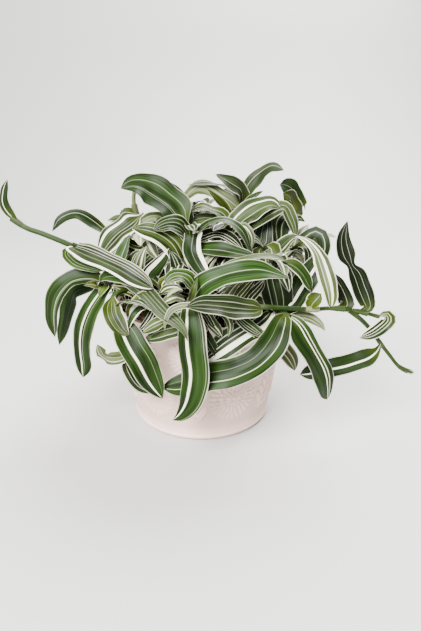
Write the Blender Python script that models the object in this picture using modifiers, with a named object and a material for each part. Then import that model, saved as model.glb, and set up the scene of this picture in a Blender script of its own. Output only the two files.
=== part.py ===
"""Murdannia with white-striped leaves in a round ceramic pot.

The origin is on the pot's axis, at the level of the table, and +Z is up. The viewer stands at -Y.
Leaves and stems are worked out in millimetres and written to the meshes in metres.
"""

import math
import random

import bmesh
import bpy
from mathutils import Matrix, Vector
from mathutils.bvhtree import BVHTree

MM = 0.001

# Pot, a turned tapered shell
RIM_RADIUS = 75.0
FOOT_RADIUS = 62.0
POT_HEIGHT = 105.0
HEEL = 5.0
HEEL_PARTS = 3
WALL = 4.0
FLOOR_THICKNESS = 5.0
LIP = 1.2
POT_STEPS = 48

# Potting soil, a crowned plug with a plain hole for each stem
SOIL_EDGE_HEIGHT = 92.0
SOIL_CROWN = 4.0
TOUCH_GAP = 0.3
HOLE_DEPTH = 12.0
HOLE_SIDES = 8

# Stems, which taper to TIP_TAPER of their radius
STEM_RADIUS = 2.0
RUNNER_RADIUS = 1.7
SIDE_STEM_SHARE = 0.9
TIP_TAPER = 0.7
STEM_STEP = 14.0
FINE_STEP = 0.5
CURVE_PARTS = 8

# Blades: widths are shares of the blade's own width, places are shares of its length
BLADE_THICKNESS = 0.8
BLADE_STEP = 15.5
ROOT_WIDTH = 2.2
SHEATH_SHARE = 0.3
WIDEST_FROM = 0.4
WIDEST_TO = 0.45
TAPER_POWER = 2.2
TIP_SHARE = 0.07
CHANNEL = 0.17
WAVE = 0.07
WAVE_COUNT = 2.3

# A blade's root lies this far down the stem, and each next one this much further
SHEATH_BACK = 5.0
ROOT_STAGGER = 1.3

# How firmly a blade's upper side is carried along it, against being drawn to one side
CARRY = 0.7

# Room that a blade keeps from everything that it doesn't grow from
CLEARANCES = (1.3, 0.9, 0.6)
NEAR_BASE = 0.2
NUDGES = (0, 5, -5, 10, -10, 15, -15, 20, -20, 26, -26)

# The point from which the leaves' places are given
EYE = Vector((8.0, -379.0, 227.0))

# Which way a blade's upper side looks
FRONT = (0.0, -0.72, 0.69)
UP = (0.0, -0.32, 0.95)

COLOURS = {
    "ceramic": ("#e9dcd6", 0.55),
    "soil": ("#3a2a20", 0.95),
    "leaf": ("#46692c", 0.42),
    "runner": ("#5d7534", 0.45),
}


def leaf(width, *points, face=FRONT, roll=(0.0, 0.0)):
    """One blade. Each point is x, z, near: its place seen from EYE on the upright plane through
    the pot's axis, and how far it stands in front of that plane. The first point is past the stem."""
    return {"width": width, "points": points, "face": face, "roll": roll}


# Each shoot has its root in the soil at x, y, its stem's points and its leaves
SHOOTS = {
    "shoot_front": {
        "root": (-4, -38),
        "stem": [(-9, 92, 58), (-11, 98, 70), (-10, 104, 75)],
        "leaves": [
            leaf(25, (-10, 93, 82), (-9, 80, 88), (-8, 55, 98), (-6, 25, 101), (-11, 0, 99), (-24, -18, 95)),
            leaf(20, (2, 114, 81), (22, 129, 85), (45, 132, 85), (70, 128, 81)),
            leaf(13, (-9, 119, 79), (-12, 128, 82), (-22, 128, 84), (-32, 115, 86)),
            leaf(6, (-7, 112, 82), (-3, 125, 82)),
            leaf(11, (8, 124, 72), (30, 142, 70), (55, 145, 68), (80, 139, 64), (92, 126, 62), (96, 112, 62),
                 face=UP),
            leaf(13, (-22, 84, 84), (-36, 76, 84), (-52, 66, 80), face=UP),
            leaf(7, (2, 90, 76), (8, 80, 80), (17, 67, 81)),
        ],
    },
    "runner_right": {
        "root": (24, -46),
        "stem": [(42, 95, 66), (52, 97, 71), (75, 96, 67), (101, 95, 61), (120, 96, 57), (140, 93, 53),
                 (159, 88, 50)],
        "branch": [(133, 93.5, 55), (150, 79, 52), (163, 63, 50), (180, 43, 48), (189, 34, 47),
                   (197, 31.5, 46)],
        "leaves": [
            leaf(18, (42, 97, 80), (22, 99, 88), (2, 99, 91), (-14, 96, 91), (-27, 91, 89), (-35, 75, 87)),
            leaf(16, (148, 100, 51), (143, 113, 49), (133, 131, 45), (127, 142, 43), (121, 156, 41),
                 (119, 171, 39), roll=(0, 180)),
            leaf(14, (165, 90, 53), (168, 83, 55), (158, 75, 57), (141, 69, 59)),
            leaf(17, (150, 50, 55), (128, 42, 57), (108, 37, 59), (91, 32, 59)),
            leaf(11, (121, 110, 52), (114, 122, 48), (106, 133, 44)),
            leaf(11, (36, 88, 76), (45, 80, 81), (58, 68, 82)),
            leaf(5, (192, 34, 47), (200, 32, 46)),
        ],
    },
    "shoot_lower_right": {
        "root": (41, -36),
        "stem": [(62, 96, 52), (72, 91, 66), (79, 87, 71)],
        "leaves": [
            leaf(25, (71, 78, 82), (66, 62, 89), (52, 44, 93), (30, 32, 93), (6, 27, 90), (-16, 20, 87),
                 (-38, 16, 83)),
            leaf(18, (85, 79, 75), (92, 66, 77), (106, 44, 77), (115, 24, 75), (120, 5, 71)),
            leaf(6, (86, 90, 74), (98, 88, 74), (108, 82, 72), (114, 73, 70)),
            leaf(16, (52, 71, 74), (38, 64, 77), (20, 57, 79), (4, 50, 80)),
            leaf(13, (78, 104, 58), (87, 113, 52), (97, 121, 46)),
        ],
    },
    "shoot_left_front": {
        "root": (-32, -28),
        "stem": [(-62, 112, 40), (-77, 107, 54), (-75, 86, 68), (-73, 77, 72)],
        "leaves": [
            leaf(25, (-72, 69, 80), (-66, 54, 86), (-56, 32, 88), (-47, 14, 86), (-38, 2, 82)),
            leaf(20, (-82, 102, 66), (-80, 90, 77), (-73, 74, 83)),
            leaf(14, (-77, 56, 62), (-73, 36, 64), (-62, 20, 66), (-44, 8, 66)),
            leaf(9, (-80, 55, 68), (-89, 49, 66), (-95, 60, 62)),
        ],
    },
    "shoot_left": {
        "root": (-47, -12),
        "stem": [(-72, 122, 16), (-88, 115, 27)],
        "leaves": [
            leaf(17, (-92, 104, 36), (-101, 86, 39), (-106, 62, 39), (-108, 42, 37), (-112, 27, 33)),
            leaf(17, (-96, 125, 24), (-112, 123, 26), (-127, 110, 28), (-134, 90, 28), (-134, 68, 26)),
            leaf(13, (-100, 118, 18), (-113, 112, 14), (-118, 98, 12), (-124, 80, 12), (-130, 62, 14)),
            leaf(11, (-84, 124, 34), (-72, 124, 42), (-60, 119, 46), (-52, 108, 48), face=UP),
        ],
    },
    "runner_left": {
        "root": (-40, 8),
        "stem": [(-58, 130, 8), (-85, 143, 17), (-108, 151.5, 22), (-130, 161, 22), (-148, 168, 20),
                 (-157, 175, 18)],
        "leaves": [
            leaf(17, (-101, 147, 31), (-84, 140, 40), (-62, 130, 50), (-46, 119, 58), (-33, 103, 68),
                 (-20, 86, 75)),
            leaf(8, (-161, 186, 18), (-160, 196, 17), (-156, 206, 16)),
            leaf(5, (-164, 185, 15), (-162, 199, 13)),
            leaf(8, (-115, 146, 26), (-109, 137, 24), (-96, 132, 22), (-84, 130, 20)),
        ],
    },
    "shoot_top_left": {
        "root": (-12, -12),
        "stem": [(-14, 130, 17), (-12, 150, 18), (-11, 167, 14)],
        "leaves": [
            leaf(21, (-16, 176, 10), (-28, 190, 6), (-42, 203, 4), (-54, 208, 4), (-66, 201, 6)),
            leaf(15, (-10, 161, 27), (-10, 148, 35), (-4, 137, 43), (6, 124, 51)),
            leaf(11, (-3, 163, 24), (8, 171, 28), (20, 173, 30), (33, 165, 32), (40, 152, 34), (43, 142, 34),
                 face=UP),
            leaf(13, (-15, 172, 22), (-24, 174, 26), (-33, 171, 28), (-43, 166, 30)),
            leaf(13, (-16, 142, 28), (-27, 155, 30), (-42, 164, 30), (-60, 169, 26)),
            leaf(14, (0, 150, 34), (14, 150, 42), (30, 148, 46), (46, 144, 46)),
            leaf(10, (2, 160, 20), (14, 163, 20), (26, 158, 22), (37, 147, 26)),
        ],
    },
    "shoot_centre": {
        "root": (22, -16),
        "stem": [(24, 140, 14), (24, 167, 8)],
        "leaves": [
            leaf(15, (34, 178, 8), (48, 186, 6), (62, 189, 4), (72, 181, 4), (77, 170, 6), (77, 160, 8)),
            leaf(12, (20, 177, 6), (10, 182, 8), (-2, 182, 8), (-13, 177, 8), face=UP),
            leaf(9, (32, 172, 16), (42, 168, 20), (45, 156, 22), (43, 143, 24)),
            leaf(18, (44, 164, 2), (54, 162, 4), (57, 152, 8), (56, 140, 10)),
        ],
    },
    "shoot_top": {
        "root": (14, 8),
        "stem": [(22, 150, -8), (32, 176, -16), (36, 189, -20)],
        "leaves": [
            leaf(13, (38, 198, -20), (46, 209, -20), (57, 217, -18), (67, 214, -14)),
            leaf(11, (33, 196, -12), (26, 202, -8), (14, 208, -6)),
            leaf(6, (24, 198, -22), (10, 202, -26), (-12, 202, -28), face=UP),
            leaf(10, (20, 194, -28), (8, 200, -30), (-5, 198, -30), (-17, 184, -28)),
            leaf(8, (20, 184, -6), (12, 192, -4), (5, 199, -4)),
            leaf(6, (38, 188, -10), (44, 193, -8), (51, 197, -6)),
            leaf(14, (30, 184, -28), (26, 190, -32), (20, 196, -34)),
        ],
    },
    "shoot_back_right": {
        "root": (42, 24),
        "stem": [(62, 150, -28), (76, 172, -34), (82, 183, -32)],
        "leaves": [
            leaf(13, (82, 192, -30), (75, 200, -28), (66, 203, -26), (59, 194, -24)),
            leaf(10, (76, 184, -24), (73, 190, -20), (66, 194, -18)),
            leaf(16, (70, 176, -10), (66, 170, -6), (66, 160, -4), (67, 150, -4)),
            leaf(4, (84, 192, -38), (86, 181, -40)),
            leaf(5, (80, 176, -26), (87, 172, -24)),
        ],
    },
    "shoot_right": {
        "root": (48, -2),
        "stem": [(66, 132, 0), (80, 150, 2), (88, 156, 4)],
        "leaves": [
            leaf(10, (72, 150, 12), (84, 160, 20), (97, 153, 32), (104, 138, 44), (107, 120, 54),
                 (107, 104, 60)),
            leaf(15, (92, 162, 2), (99, 165, 4), (105, 158, 6), (106, 142, 8)),
            leaf(12, (90, 152, 14), (94, 145, 18), (94, 135, 20), (93, 122, 20)),
            leaf(7, (86, 164, -6), (92, 171, -8)),
            leaf(5, (100, 156, -4), (113, 159, -6)),
            leaf(8, (76, 146, -8), (84, 149, -10), (93, 147, -12)),
        ],
    },
    "shoot_right_front": {
        "root": (30, -28),
        "stem": [(52, 118, 36), (62, 131, 38)],
        "leaves": [
            leaf(21, (62, 128, 47), (63, 112, 54), (62, 97, 56)),
            leaf(8, (68, 131, 40), (76, 126, 44), (82, 113, 46)),
            leaf(12, (40, 118, 42), (24, 116, 46), (12, 108, 48), (2, 104, 50)),
        ],
    },
    "shoot_front_left": {
        "root": (-16, -32),
        "stem": [(-36, 110, 50), (-44, 104, 58)],
        "leaves": [
            leaf(15, (-52, 103, 62), (-60, 95, 66), (-65, 82, 68)),
            leaf(7, (-50, 98, 68), (-58, 93, 72), (-64, 84, 76), (-66, 76, 78)),
            leaf(9, (-42, 93, 70), (-50, 80, 76), (-61, 71, 78)),
            leaf(10, (-34, 118, 52), (-26, 124, 54), (-20, 112, 60)),
        ],
    },
    "shoot_upper_left": {
        "root": (-26, 12),
        "stem": [(-42, 150, -4), (-50, 169, -6)],
        "branch": [(-53, 178, -8), (-55, 188, -10), (-54, 198, -8)],
        "leaves": [
            leaf(18, (-58, 174, 2), (-70, 168, 6), (-82, 156, 8), (-92, 142, 8)),
            leaf(11, (-47, 160, 12), (-43, 150, 18), (-36, 139, 22)),
            leaf(9, (-56, 152, 4), (-64, 155, 8), (-77, 145, 12)),
            leaf(7, (-56, 178, -10), (-62, 180, -8), (-68, 176, -6)),
            leaf(6, (-62, 175, -13), (-78, 173, -12)),
            leaf(9, (-44, 175, 2), (-33, 172, 6)),
            leaf(8, (-40, 138, 14), (-50, 127, 24)),
        ],
    },
    "shoot_arch_left": {
        "root": (-36, 30),
        "stem": [(-56, 145, -20), (-80, 162, -14)],
        "leaves": [
            leaf(11, (-90, 171, -12), (-103, 178, -10), (-116, 174, -8), (-125, 164, -6)),
        ],
    },
    "shoot_right_low": {
        "root": (56, -16),
        "stem": [(74, 112, 2), (82, 100, -4)],
        "leaves": [
            leaf(11, (84, 84, -8), (82, 66, -6), (85, 52, -4), (87, 36, -4)),
        ],
    },
}

# Shoots at the back and sides: root x, y, then the stem's top x, y, z, then how many leaves
SIDE_SHOOTS = {
    "shoot_back_middle": ((-4, 30), (-6, 44, 166), 7),
    "shoot_back_low": ((6, 54), (8, 84, 124), 6),
    "shoot_back_left": ((-24, 46), (-44, 76, 126), 6),
    "shoot_back_right_low": ((32, 46), (52, 70, 128), 6),
    "shoot_side_left": ((-54, 12), (-84, 26, 122), 6),
    "shoot_side_right": ((60, 12), (88, 22, 120), 6),
    "shoot_crown": ((2, 14), (6, 24, 182), 7),
}

# Where such a stem bends over, as shares of its way out and up
BEND_OUT = 0.35
BEND_UP = 0.62

# Short leaves that fill the inside of the clump: shoot name and how many
INNER_LEAVES = {
    "shoot_front": 4, "shoot_front_left": 5, "shoot_right_front": 6, "shoot_left_front": 2, "shoot_left": 2,
    "runner_right": 2, "runner_left": 2, "shoot_top_left": 5, "shoot_centre": 6, "shoot_upper_left": 4,
    "shoot_right": 4, "shoot_arch_left": 3, "shoot_top": 4, "shoot_back_right": 4,
}
LONG_LEAF = {"length": (62.0, 98.0), "width": (13.0, 19.0)}
SHORT_LEAF = {"length": (34.0, 62.0), "width": (9.0, 15.0)}
SEED = 11

# A drawn leaf: how far it turns from its stem's lean, its slopes at root and tip in degrees,
# and how often it is drawn again, each time a little smaller, until it stands clear
TURN = 140.0
RISE = (10.0, 75.0)
FALL = (-85.0, -20.0)
DROOP_STEPS = 5
DROOP_POWER = 0.8
TRIES = 90
SHRINK = 0.004

# The clump's outline as it shows from EYE, which the drawn leaves stay inside: round above its centre,
# and upright at the sides below it
OUTLINE_CENTRE = (4.0, 108.0)
OUTLINE_REACH = (92.0, 84.0)
BELOW_RIM_REACH = 78.0


def seen(x, z, near):
    """The point near millimetres in front of the upright plane that shows at x, z from EYE."""
    on_plane = Vector((x, 0.0, z))
    return EYE + (on_plane - EYE) * (1.0 - near / -EYE.y)


def shows_inside(place):
    """True where the place shows inside the clump's outline from EYE."""
    shown = EYE + (place - EYE) * (-EYE.y / (place.y - EYE.y))
    x = (shown.x - OUTLINE_CENTRE[0]) / OUTLINE_REACH[0]
    z = (shown.z - OUTLINE_CENTRE[1]) / OUTLINE_REACH[1]
    if z < 0:
        return abs(shown.x) < BELOW_RIM_REACH
    return x * x + z * z < 1.0


def smooth_path(points, spacing):
    """Evenly spaced points, about spacing apart, on a curve through the given ones."""
    ends = [points[0] * 2 - points[1]] + list(points) + [points[-1] * 2 - points[-2]]
    dense = [points[0].copy()]
    for before, start, end, after in zip(ends, ends[1:], ends[2:], ends[3:]):
        first = math.sqrt((start - before).length)
        middle = math.sqrt((end - start).length)
        last = math.sqrt((after - end).length)
        leave = (start - before) / first - (end - before) / (first + middle) + (end - start) / middle
        arrive = (end - start) / middle - (after - start) / (middle + last) + (after - end) / last
        for step in range(1, CURVE_PARTS + 1):
            t = step / CURVE_PARTS
            bend = leave * (t * (1 - t) ** 2) - arrive * (t * t * (1 - t))
            dense.append(start.lerp(end, t * t * (3 - 2 * t)) + bend * middle)
    lengths = [0.0]
    for first, second in zip(dense, dense[1:]):
        lengths.append(lengths[-1] + (second - first).length)
    count = max(3, round(lengths[-1] / spacing))
    path = []
    index = 0
    for number in range(count + 1):
        target = lengths[-1] * number / count
        while index < len(dense) - 2 and lengths[index + 1] < target:
            index += 1
        share = (target - lengths[index]) / max(lengths[index + 1] - lengths[index], 1e-6)
        path.append(dense[index].lerp(dense[index + 1], share))
    return path


def directions(path):
    """The path's direction at each of its points."""
    count = len(path) - 1
    return [(path[min(i + 1, count)] - path[max(i - 1, 0)]).normalized() for i in range(count + 1)]


def width_share(t):
    """How wide the blade is at t, from its sheath at 0 to its point at 1."""
    rise = min(t / WIDEST_FROM, 1.0)
    share = SHEATH_SHARE + (1 - SHEATH_SHARE) * rise * rise * (3 - 2 * rise)
    if t > WIDEST_TO:
        share *= 1 - ((t - WIDEST_TO) / (1 - WIDEST_TO)) ** TAPER_POWER
    return max(share, TIP_SHARE)


def upper_sides(along_path, face):
    """Where the upper side looks at each point: carried along from mid blade and drawn towards face."""
    face = Vector(face)
    middle = len(along_path) // 2
    uppers = [None] * len(along_path)
    uppers[middle] = (face - face.dot(along_path[middle]) * along_path[middle]).normalized()
    for step, order in ((-1, range(middle + 1, len(along_path))), (1, range(middle - 1, -1, -1))):
        for index in order:
            along = along_path[index]
            before = uppers[index + step]
            carried = (before - before.dot(along) * along).normalized()
            uppers[index] = (carried * CARRY + face - face.dot(along) * along).normalized()
    return uppers


def blade_rows(points, width, face, roll, channel=CHANNEL, spacing=BLADE_STEP):
    """Rows across the blade: left edge, keel, right edge and the direction of the upper side."""
    path = smooth_path(points, spacing)
    along_path = directions(path)
    rows = []
    for index, (place, along, upper) in enumerate(zip(path, along_path, upper_sides(along_path, face))):
        t = index / (len(path) - 1)
        turn = math.radians(roll[0] + (roll[1] - roll[0]) * t * t * (3 - 2 * t))
        upper = Matrix.Rotation(turn, 3, along) @ upper
        side = along.cross(upper).normalized()
        half = 0.5 * (width * width_share(t) if index else ROOT_WIDTH)
        lift = 2 * half * channel * (1.0 - 0.6 * t)
        wave = 2 * half * WAVE * math.sin(WAVE_COUNT * math.tau * t + width)
        rows.append((place - side * half + upper * (lift + wave), place.copy(),
                     place + side * half + upper * (lift - wave), upper))
    return rows


def hull_of_rows(rows, margin):
    """Closed vertices and faces round a blade's rows, with room all round it."""
    reach = BLADE_THICKNESS / 2 + margin
    vertices = []
    for left, keel, right, upper in rows:
        out = (right - left).normalized() * margin
        vertices += [left - out + upper * reach, keel + upper * reach, right + out + upper * reach,
                     right + out - upper * reach, keel - upper * reach, left - out - upper * reach]
    faces = []
    for row in range(len(rows) - 1):
        for corner in range(6):
            a = row * 6 + corner
            b = row * 6 + (corner + 1) % 6
            faces += [(a, b, b + 6), (a, b + 6, a + 6)]
    return vertices, faces


def hull_of_tube(path, radius):
    """Vertices and faces of a plain tube, for the room that a stem takes."""
    vertices = []
    for place, along in zip(path, directions(path)):
        across = along.orthogonal().normalized()
        for corner in range(6):
            vertices.append(place + Matrix.Rotation(corner * math.tau / 6, 3, along) @ across * radius)
    faces = []
    for row in range(len(path) - 1):
        for corner in range(6):
            a = row * 6 + corner
            b = row * 6 + (corner + 1) % 6
            faces.append((a, b, b + 6, a + 6))
    return vertices, faces


class Room:
    """What already stands in the clump, so that each new blade bends clear of it."""

    def __init__(self):
        self.taken = []

    def add(self, shoot, whole, outer):
        """Keep a hull, and the part of it that blades of the same shoot keep clear of."""
        tree = BVHTree.FromPolygons(*whole)
        outer_tree = BVHTree.FromPolygons(*outer) if outer else None
        low = [min(v[axis] for v in whole[0]) for axis in range(3)]
        high = [max(v[axis] for v in whole[0]) for axis in range(3)]
        self.taken.append((shoot, tree, outer_tree, low, high))

    def is_free(self, shoot, rows, margin):
        """True where the blade stays clear of the pot, the soil, the stems and the other blades."""
        if any(in_pot(place, margin) for row in between(rows) for place in row[:3]):
            return False
        skip = max(1, round(len(rows) * NEAR_BASE))
        vertices, faces = hull_of_rows(rows, margin)
        low = [min(v[axis] for v in vertices) for axis in range(3)]
        high = [max(v[axis] for v in vertices) for axis in range(3)]
        whole = BVHTree.FromPolygons(vertices, faces)
        outer = BVHTree.FromPolygons(*hull_of_rows(rows[skip:], margin))
        for other, tree, outer_tree, other_low, other_high in self.taken:
            if any(low[a] > other_high[a] or high[a] < other_low[a] for a in range(3)):
                continue
            if other != shoot and whole.overlap(tree):
                return False
            if other == shoot and outer_tree and outer.overlap(outer_tree):
                return False
        return True

    def keep(self, shoot, rows):
        skip = max(1, round(len(rows) * NEAR_BASE))
        self.add(shoot, hull_of_rows(rows, 0.0), hull_of_rows(rows[skip:], 0.0))


def between(rows):
    """The rows and two more between each pair of them."""
    for first, second in zip(rows, rows[1:]):
        for share in (0.0, 1 / 3, 2 / 3):
            yield [a.lerp(b, share) for a, b in zip(first, second)]
    yield rows[-1]


def in_pot(place, margin):
    """True where the place is in the pot's wall or the soil, or within margin of them."""
    out = math.hypot(place.x, place.y)
    wall = FOOT_RADIUS + (RIM_RADIUS - FOOT_RADIUS) * place.z / POT_HEIGHT
    if place.z < POT_HEIGHT + margin and wall - WALL - margin < out < wall + margin:
        return True
    return place.z < SOIL_EDGE_HEIGHT + SOIL_CROWN + margin and out <= wall - WALL


def stem_path(shoot):
    """The stem's points, from the bottom of its hole upright through the soil and on to its tip."""
    x, y = shoot["root"]
    soil = SOIL_EDGE_HEIGHT
    if "top" in shoot:
        top = Vector(shoot["top"])
        level = Vector((x, y, soil))
        way = top - level
        bend = level + Vector((way.x * BEND_OUT, way.y * BEND_OUT, way.z * BEND_UP))
        upper = [bend, top]
    else:
        upper = [seen(*point) for point in shoot["stem"]]
    bottom = Vector((x, y, soil - HOLE_DEPTH + TOUCH_GAP))
    mouth = Vector((x, y, soil + SOIL_CROWN + 1.0))
    path = smooth_path([mouth] + upper, STEM_STEP)
    return [bottom] + path


def branch_path(shoot, main):
    """A side stem's points, from the nearest point of the main stem."""
    points = [seen(*point) for point in shoot["branch"]]
    start = min(main, key=lambda place: (place - points[0]).length)
    return smooth_path([start] + points, STEM_STEP)


def leaf_start(stems, first, number):
    """Where a blade leaves its stem: a little below the stem's nearest point to its first point.
    Blades that share a stem start at slightly different heights."""
    stem = min(stems, key=lambda path: min((place - first).length for place in path))
    fine = smooth_path(stem[1:], FINE_STEP)
    nearest = min(range(len(fine)), key=lambda index: (fine[index] - first).length)
    back = SHEATH_BACK + ROOT_STAGGER * (number % 5)
    return fine[max(nearest - round(back / FINE_STEP), 1)]


def nudged(points, middle, tip):
    """The points moved along the line of sight: middle at mid blade, tip at its point."""
    moved = []
    last = len(points)
    for index, (x, z, near) in enumerate(points, start=1):
        t = index / last
        moved.append((x, z, near + middle * math.sin(math.pi * t) + tip * t * t))
    return moved


def drooping(start, outward, rise, fall, length):
    """A blade's points that leave at the angle rise and hang over to the angle fall."""
    points = [start]
    for step in range(DROOP_STEPS):
        angle = math.radians(rise + (fall - rise) * ((step + 0.5) / DROOP_STEPS) ** DROOP_POWER)
        way = outward * math.cos(angle) + Vector((0, 0, math.sin(angle)))
        points.append(points[-1] + way * length / DROOP_STEPS)
    return points


def place_leaf(room, name, stems, entry, number):
    """The rows of a blade with given points, bent clear along the line of sight."""
    pairs = sorted(((m, t) for m in NUDGES for t in NUDGES), key=lambda p: abs(p[0]) + abs(p[1]))
    scale = 1.0 - entry["points"][0][2] / -EYE.y
    for margin in CLEARANCES:
        for middle, tip in pairs:
            points = [seen(*point) for point in nudged(entry["points"], middle, tip)]
            points = [leaf_start(stems, points[0], number)] + points
            rows = blade_rows(points, entry["width"] * scale, entry["face"], entry["roll"])
            if room.is_free(name, rows, margin):
                return rows
    return None


def grow_leaf(room, name, stems, draw, lean, size):
    """The rows of a drooping blade with drawn angles, tried until one is clear."""
    for attempt in range(TRIES):
        stem = draw.choice(stems)
        start = stem[draw.randrange(min(2, len(stem) - 1), len(stem))]
        azimuth = lean + math.radians(draw.uniform(-TURN, TURN))
        outward = Vector((math.cos(azimuth), math.sin(azimuth), 0.0))
        rise = draw.uniform(*RISE)
        fall = draw.uniform(*FALL)
        length = draw.uniform(*size["length"]) * (1.0 - SHRINK * attempt)
        width = draw.uniform(*size["width"]) * (1.0 - SHRINK * attempt)
        points = drooping(start, outward, rise, fall, length)
        face = (outward * 0.5 + Vector((0, 0, 0.87)))[:]
        rows = blade_rows(points, width, face, (draw.uniform(-15, 15), draw.uniform(-30, 30)), channel=0.0)
        if all(shows_inside(row[1]) for row in rows) and room.is_free(name, rows, CLEARANCES[1]):
            return rows
    return None


def plan_plant():
    """Every shoot's stems and blades, each blade clear of what it doesn't grow from."""
    room = Room()
    plan = {}
    shoots = dict(SHOOTS)
    for name, (root, top, count) in SIDE_SHOOTS.items():
        shoots[name] = {"root": root, "top": top, "leaves": []}
    for name, shoot in shoots.items():
        stems = [stem_path(shoot)]
        if "branch" in shoot:
            stems.append(branch_path(shoot, stems[0]))
        radius = RUNNER_RADIUS if name.startswith("runner") else STEM_RADIUS
        for path in stems:
            room.add(name, hull_of_tube(path, radius), None)
        plan[name] = {"stems": stems, "radius": radius, "blades": []}
    for name, shoot in shoots.items():
        for number, entry in enumerate(shoot["leaves"]):
            rows = place_leaf(room, name, plan[name]["stems"], entry, number)
            if rows:
                room.keep(name, rows)
                plan[name]["blades"].append(rows)
    draw = random.Random(SEED)
    wanted = [(name, count, LONG_LEAF) for name, (root, top, count) in SIDE_SHOOTS.items()]
    wanted += [(name, count, SHORT_LEAF) for name, count in INNER_LEAVES.items()]
    for name, count, size in wanted:
        stems = plan[name]["stems"]
        lean = math.atan2(stems[0][-1].y, stems[0][-1].x)
        for number in range(count):
            rows = grow_leaf(room, name, stems, draw, lean, size)
            if rows:
                room.keep(name, rows)
                plan[name]["blades"].append(rows)
    return plan


def linear(code):
    """A colour written as #rrggbb, turned to linear light."""
    channels = [int(code[i:i + 2], 16) / 255 for i in (1, 3, 5)]
    return [c / 12.92 if c <= 0.04045 else ((c + 0.055) / 1.055) ** 2.4 for c in channels] + [1.0]


def material(name, kind):
    code, roughness = COLOURS[kind]
    finish = bpy.data.materials.new(name)
    finish.use_nodes = True
    shader = finish.node_tree.nodes["Principled BSDF"]
    shader.inputs["Base Color"].default_value = linear(code)
    shader.inputs["Roughness"].default_value = roughness
    shader.inputs["Metallic"].default_value = 0.0
    return finish


def add_object(name, mesh, collection, finish=None):
    thing = bpy.data.objects.new(name, mesh)
    collection.objects.link(thing)
    if finish:
        mesh.materials.clear()
        mesh.materials.append(finish)
    return thing


def loose_scraps(shape):
    """The corners of every loose body of a mesh but its largest."""
    bodies = []
    met = set()
    for start in shape.verts:
        if start in met:
            continue
        met.add(start)
        body = [start]
        for corner in body:
            for edge in corner.link_edges:
                other = edge.other_vert(corner)
                if other not in met:
                    met.add(other)
                    body.append(other)
        bodies.append(body)
    bodies.sort(key=len)
    return [corner for body in bodies[:-1] for corner in body]


def baked_mesh(thing, name, merge=0.0):
    """The mesh of an object as its modifiers leave it, in triangles, without loose scraps."""
    bpy.context.view_layer.update()
    evaluated = thing.evaluated_get(bpy.context.evaluated_depsgraph_get())
    mesh = bpy.data.meshes.new_from_object(evaluated)
    mesh.name = name
    shape = bmesh.new()
    shape.from_mesh(mesh)
    if merge:
        bmesh.ops.remove_doubles(shape, verts=shape.verts, dist=merge)
    bmesh.ops.triangulate(shape, faces=shape.faces)
    bmesh.ops.delete(shape, geom=loose_scraps(shape), context="VERTS")
    shape.to_mesh(mesh)
    shape.free()
    return mesh


def turned(name, profile, steps, collection, finish):
    """A solid of revolution. The profile runs down the outer side, then back to the axis."""
    mesh = bpy.data.meshes.new(name)
    shape = bmesh.new()
    corners = [shape.verts.new((r * MM, 0.0, z * MM)) for r, z in profile]
    for first, second in zip(corners, corners[1:]):
        shape.edges.new((first, second))
    shape.to_mesh(mesh)
    shape.free()
    thing = add_object(name, mesh, collection, finish)
    screw = thing.modifiers.new("turning", "SCREW")
    screw.steps = steps
    screw.render_steps = steps
    screw.use_merge_vertices = True
    screw.merge_threshold = 0.00001
    screw.use_smooth_shade = True
    return thing


def wall_radius(z):
    return FOOT_RADIUS + (RIM_RADIUS - FOOT_RADIUS) * z / POT_HEIGHT


def build_pot(collection):
    """The tapered shell with a rounded rim, a rounded heel and a flat foot."""
    rim = [(wall_radius(POT_HEIGHT) - WALL + LIP, POT_HEIGHT), (wall_radius(POT_HEIGHT) - LIP, POT_HEIGHT),
           (wall_radius(POT_HEIGHT), POT_HEIGHT - LIP)]
    heel = []
    for step in range(HEEL_PARTS + 1):
        angle = math.radians(90 * step / HEEL_PARTS)
        heel.append((wall_radius(HEEL) - HEEL * (1 - math.cos(angle)), HEEL * (1 - math.sin(angle))))
    inside = [(0.0, FLOOR_THICKNESS), (wall_radius(0) - WALL - HEEL, FLOOR_THICKNESS),
              (wall_radius(HEEL) - WALL, FLOOR_THICKNESS + HEEL),
              (wall_radius(POT_HEIGHT) - WALL, POT_HEIGHT - LIP)]
    profile = inside + rim + heel + [(0.0, 0.0)]
    return turned("pot", profile, POT_STEPS, collection, material("bone white ceramic", "ceramic"))


def build_soil(collection, cutters, roots):
    """A crowned plug of soil inside the pot, with a plain hole for each stem."""
    top = SOIL_EDGE_HEIGHT
    gap = TOUCH_GAP
    profile = [(0.0, top + SOIL_CROWN), (24.0, top + SOIL_CROWN * 0.8), (48.0, top + SOIL_CROWN * 0.3),
               (wall_radius(top) - WALL - gap, top),
               (wall_radius(HEEL) - WALL - gap, FLOOR_THICKNESS + HEEL + gap),
               (wall_radius(0) - WALL - HEEL - gap, FLOOR_THICKNESS + gap), (0.0, FLOOR_THICKNESS + gap)]
    soil = turned("soil", profile, POT_STEPS, collection, material("peat potting soil", "soil"))
    for number, (x, y, radius) in enumerate(roots):
        mesh = bpy.data.meshes.new("stem hole")
        shape = bmesh.new()
        bmesh.ops.create_cone(shape, cap_ends=True, segments=HOLE_SIDES, radius1=(radius + gap) * MM,
                              radius2=(radius + gap) * MM, depth=2 * HOLE_DEPTH * MM)
        shape.to_mesh(mesh)
        shape.free()
        cutter = add_object(f"stem_hole_{number}", mesh, cutters)
        cutter.location = (x * MM, y * MM, top * MM)
        cutter.hide_render = True
        cutter.display_type = "WIRE"
        cut = soil.modifiers.new(f"hole {number}", "BOOLEAN")
        cut.operation = "DIFFERENCE"
        cut.object = cutter
    return soil


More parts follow.
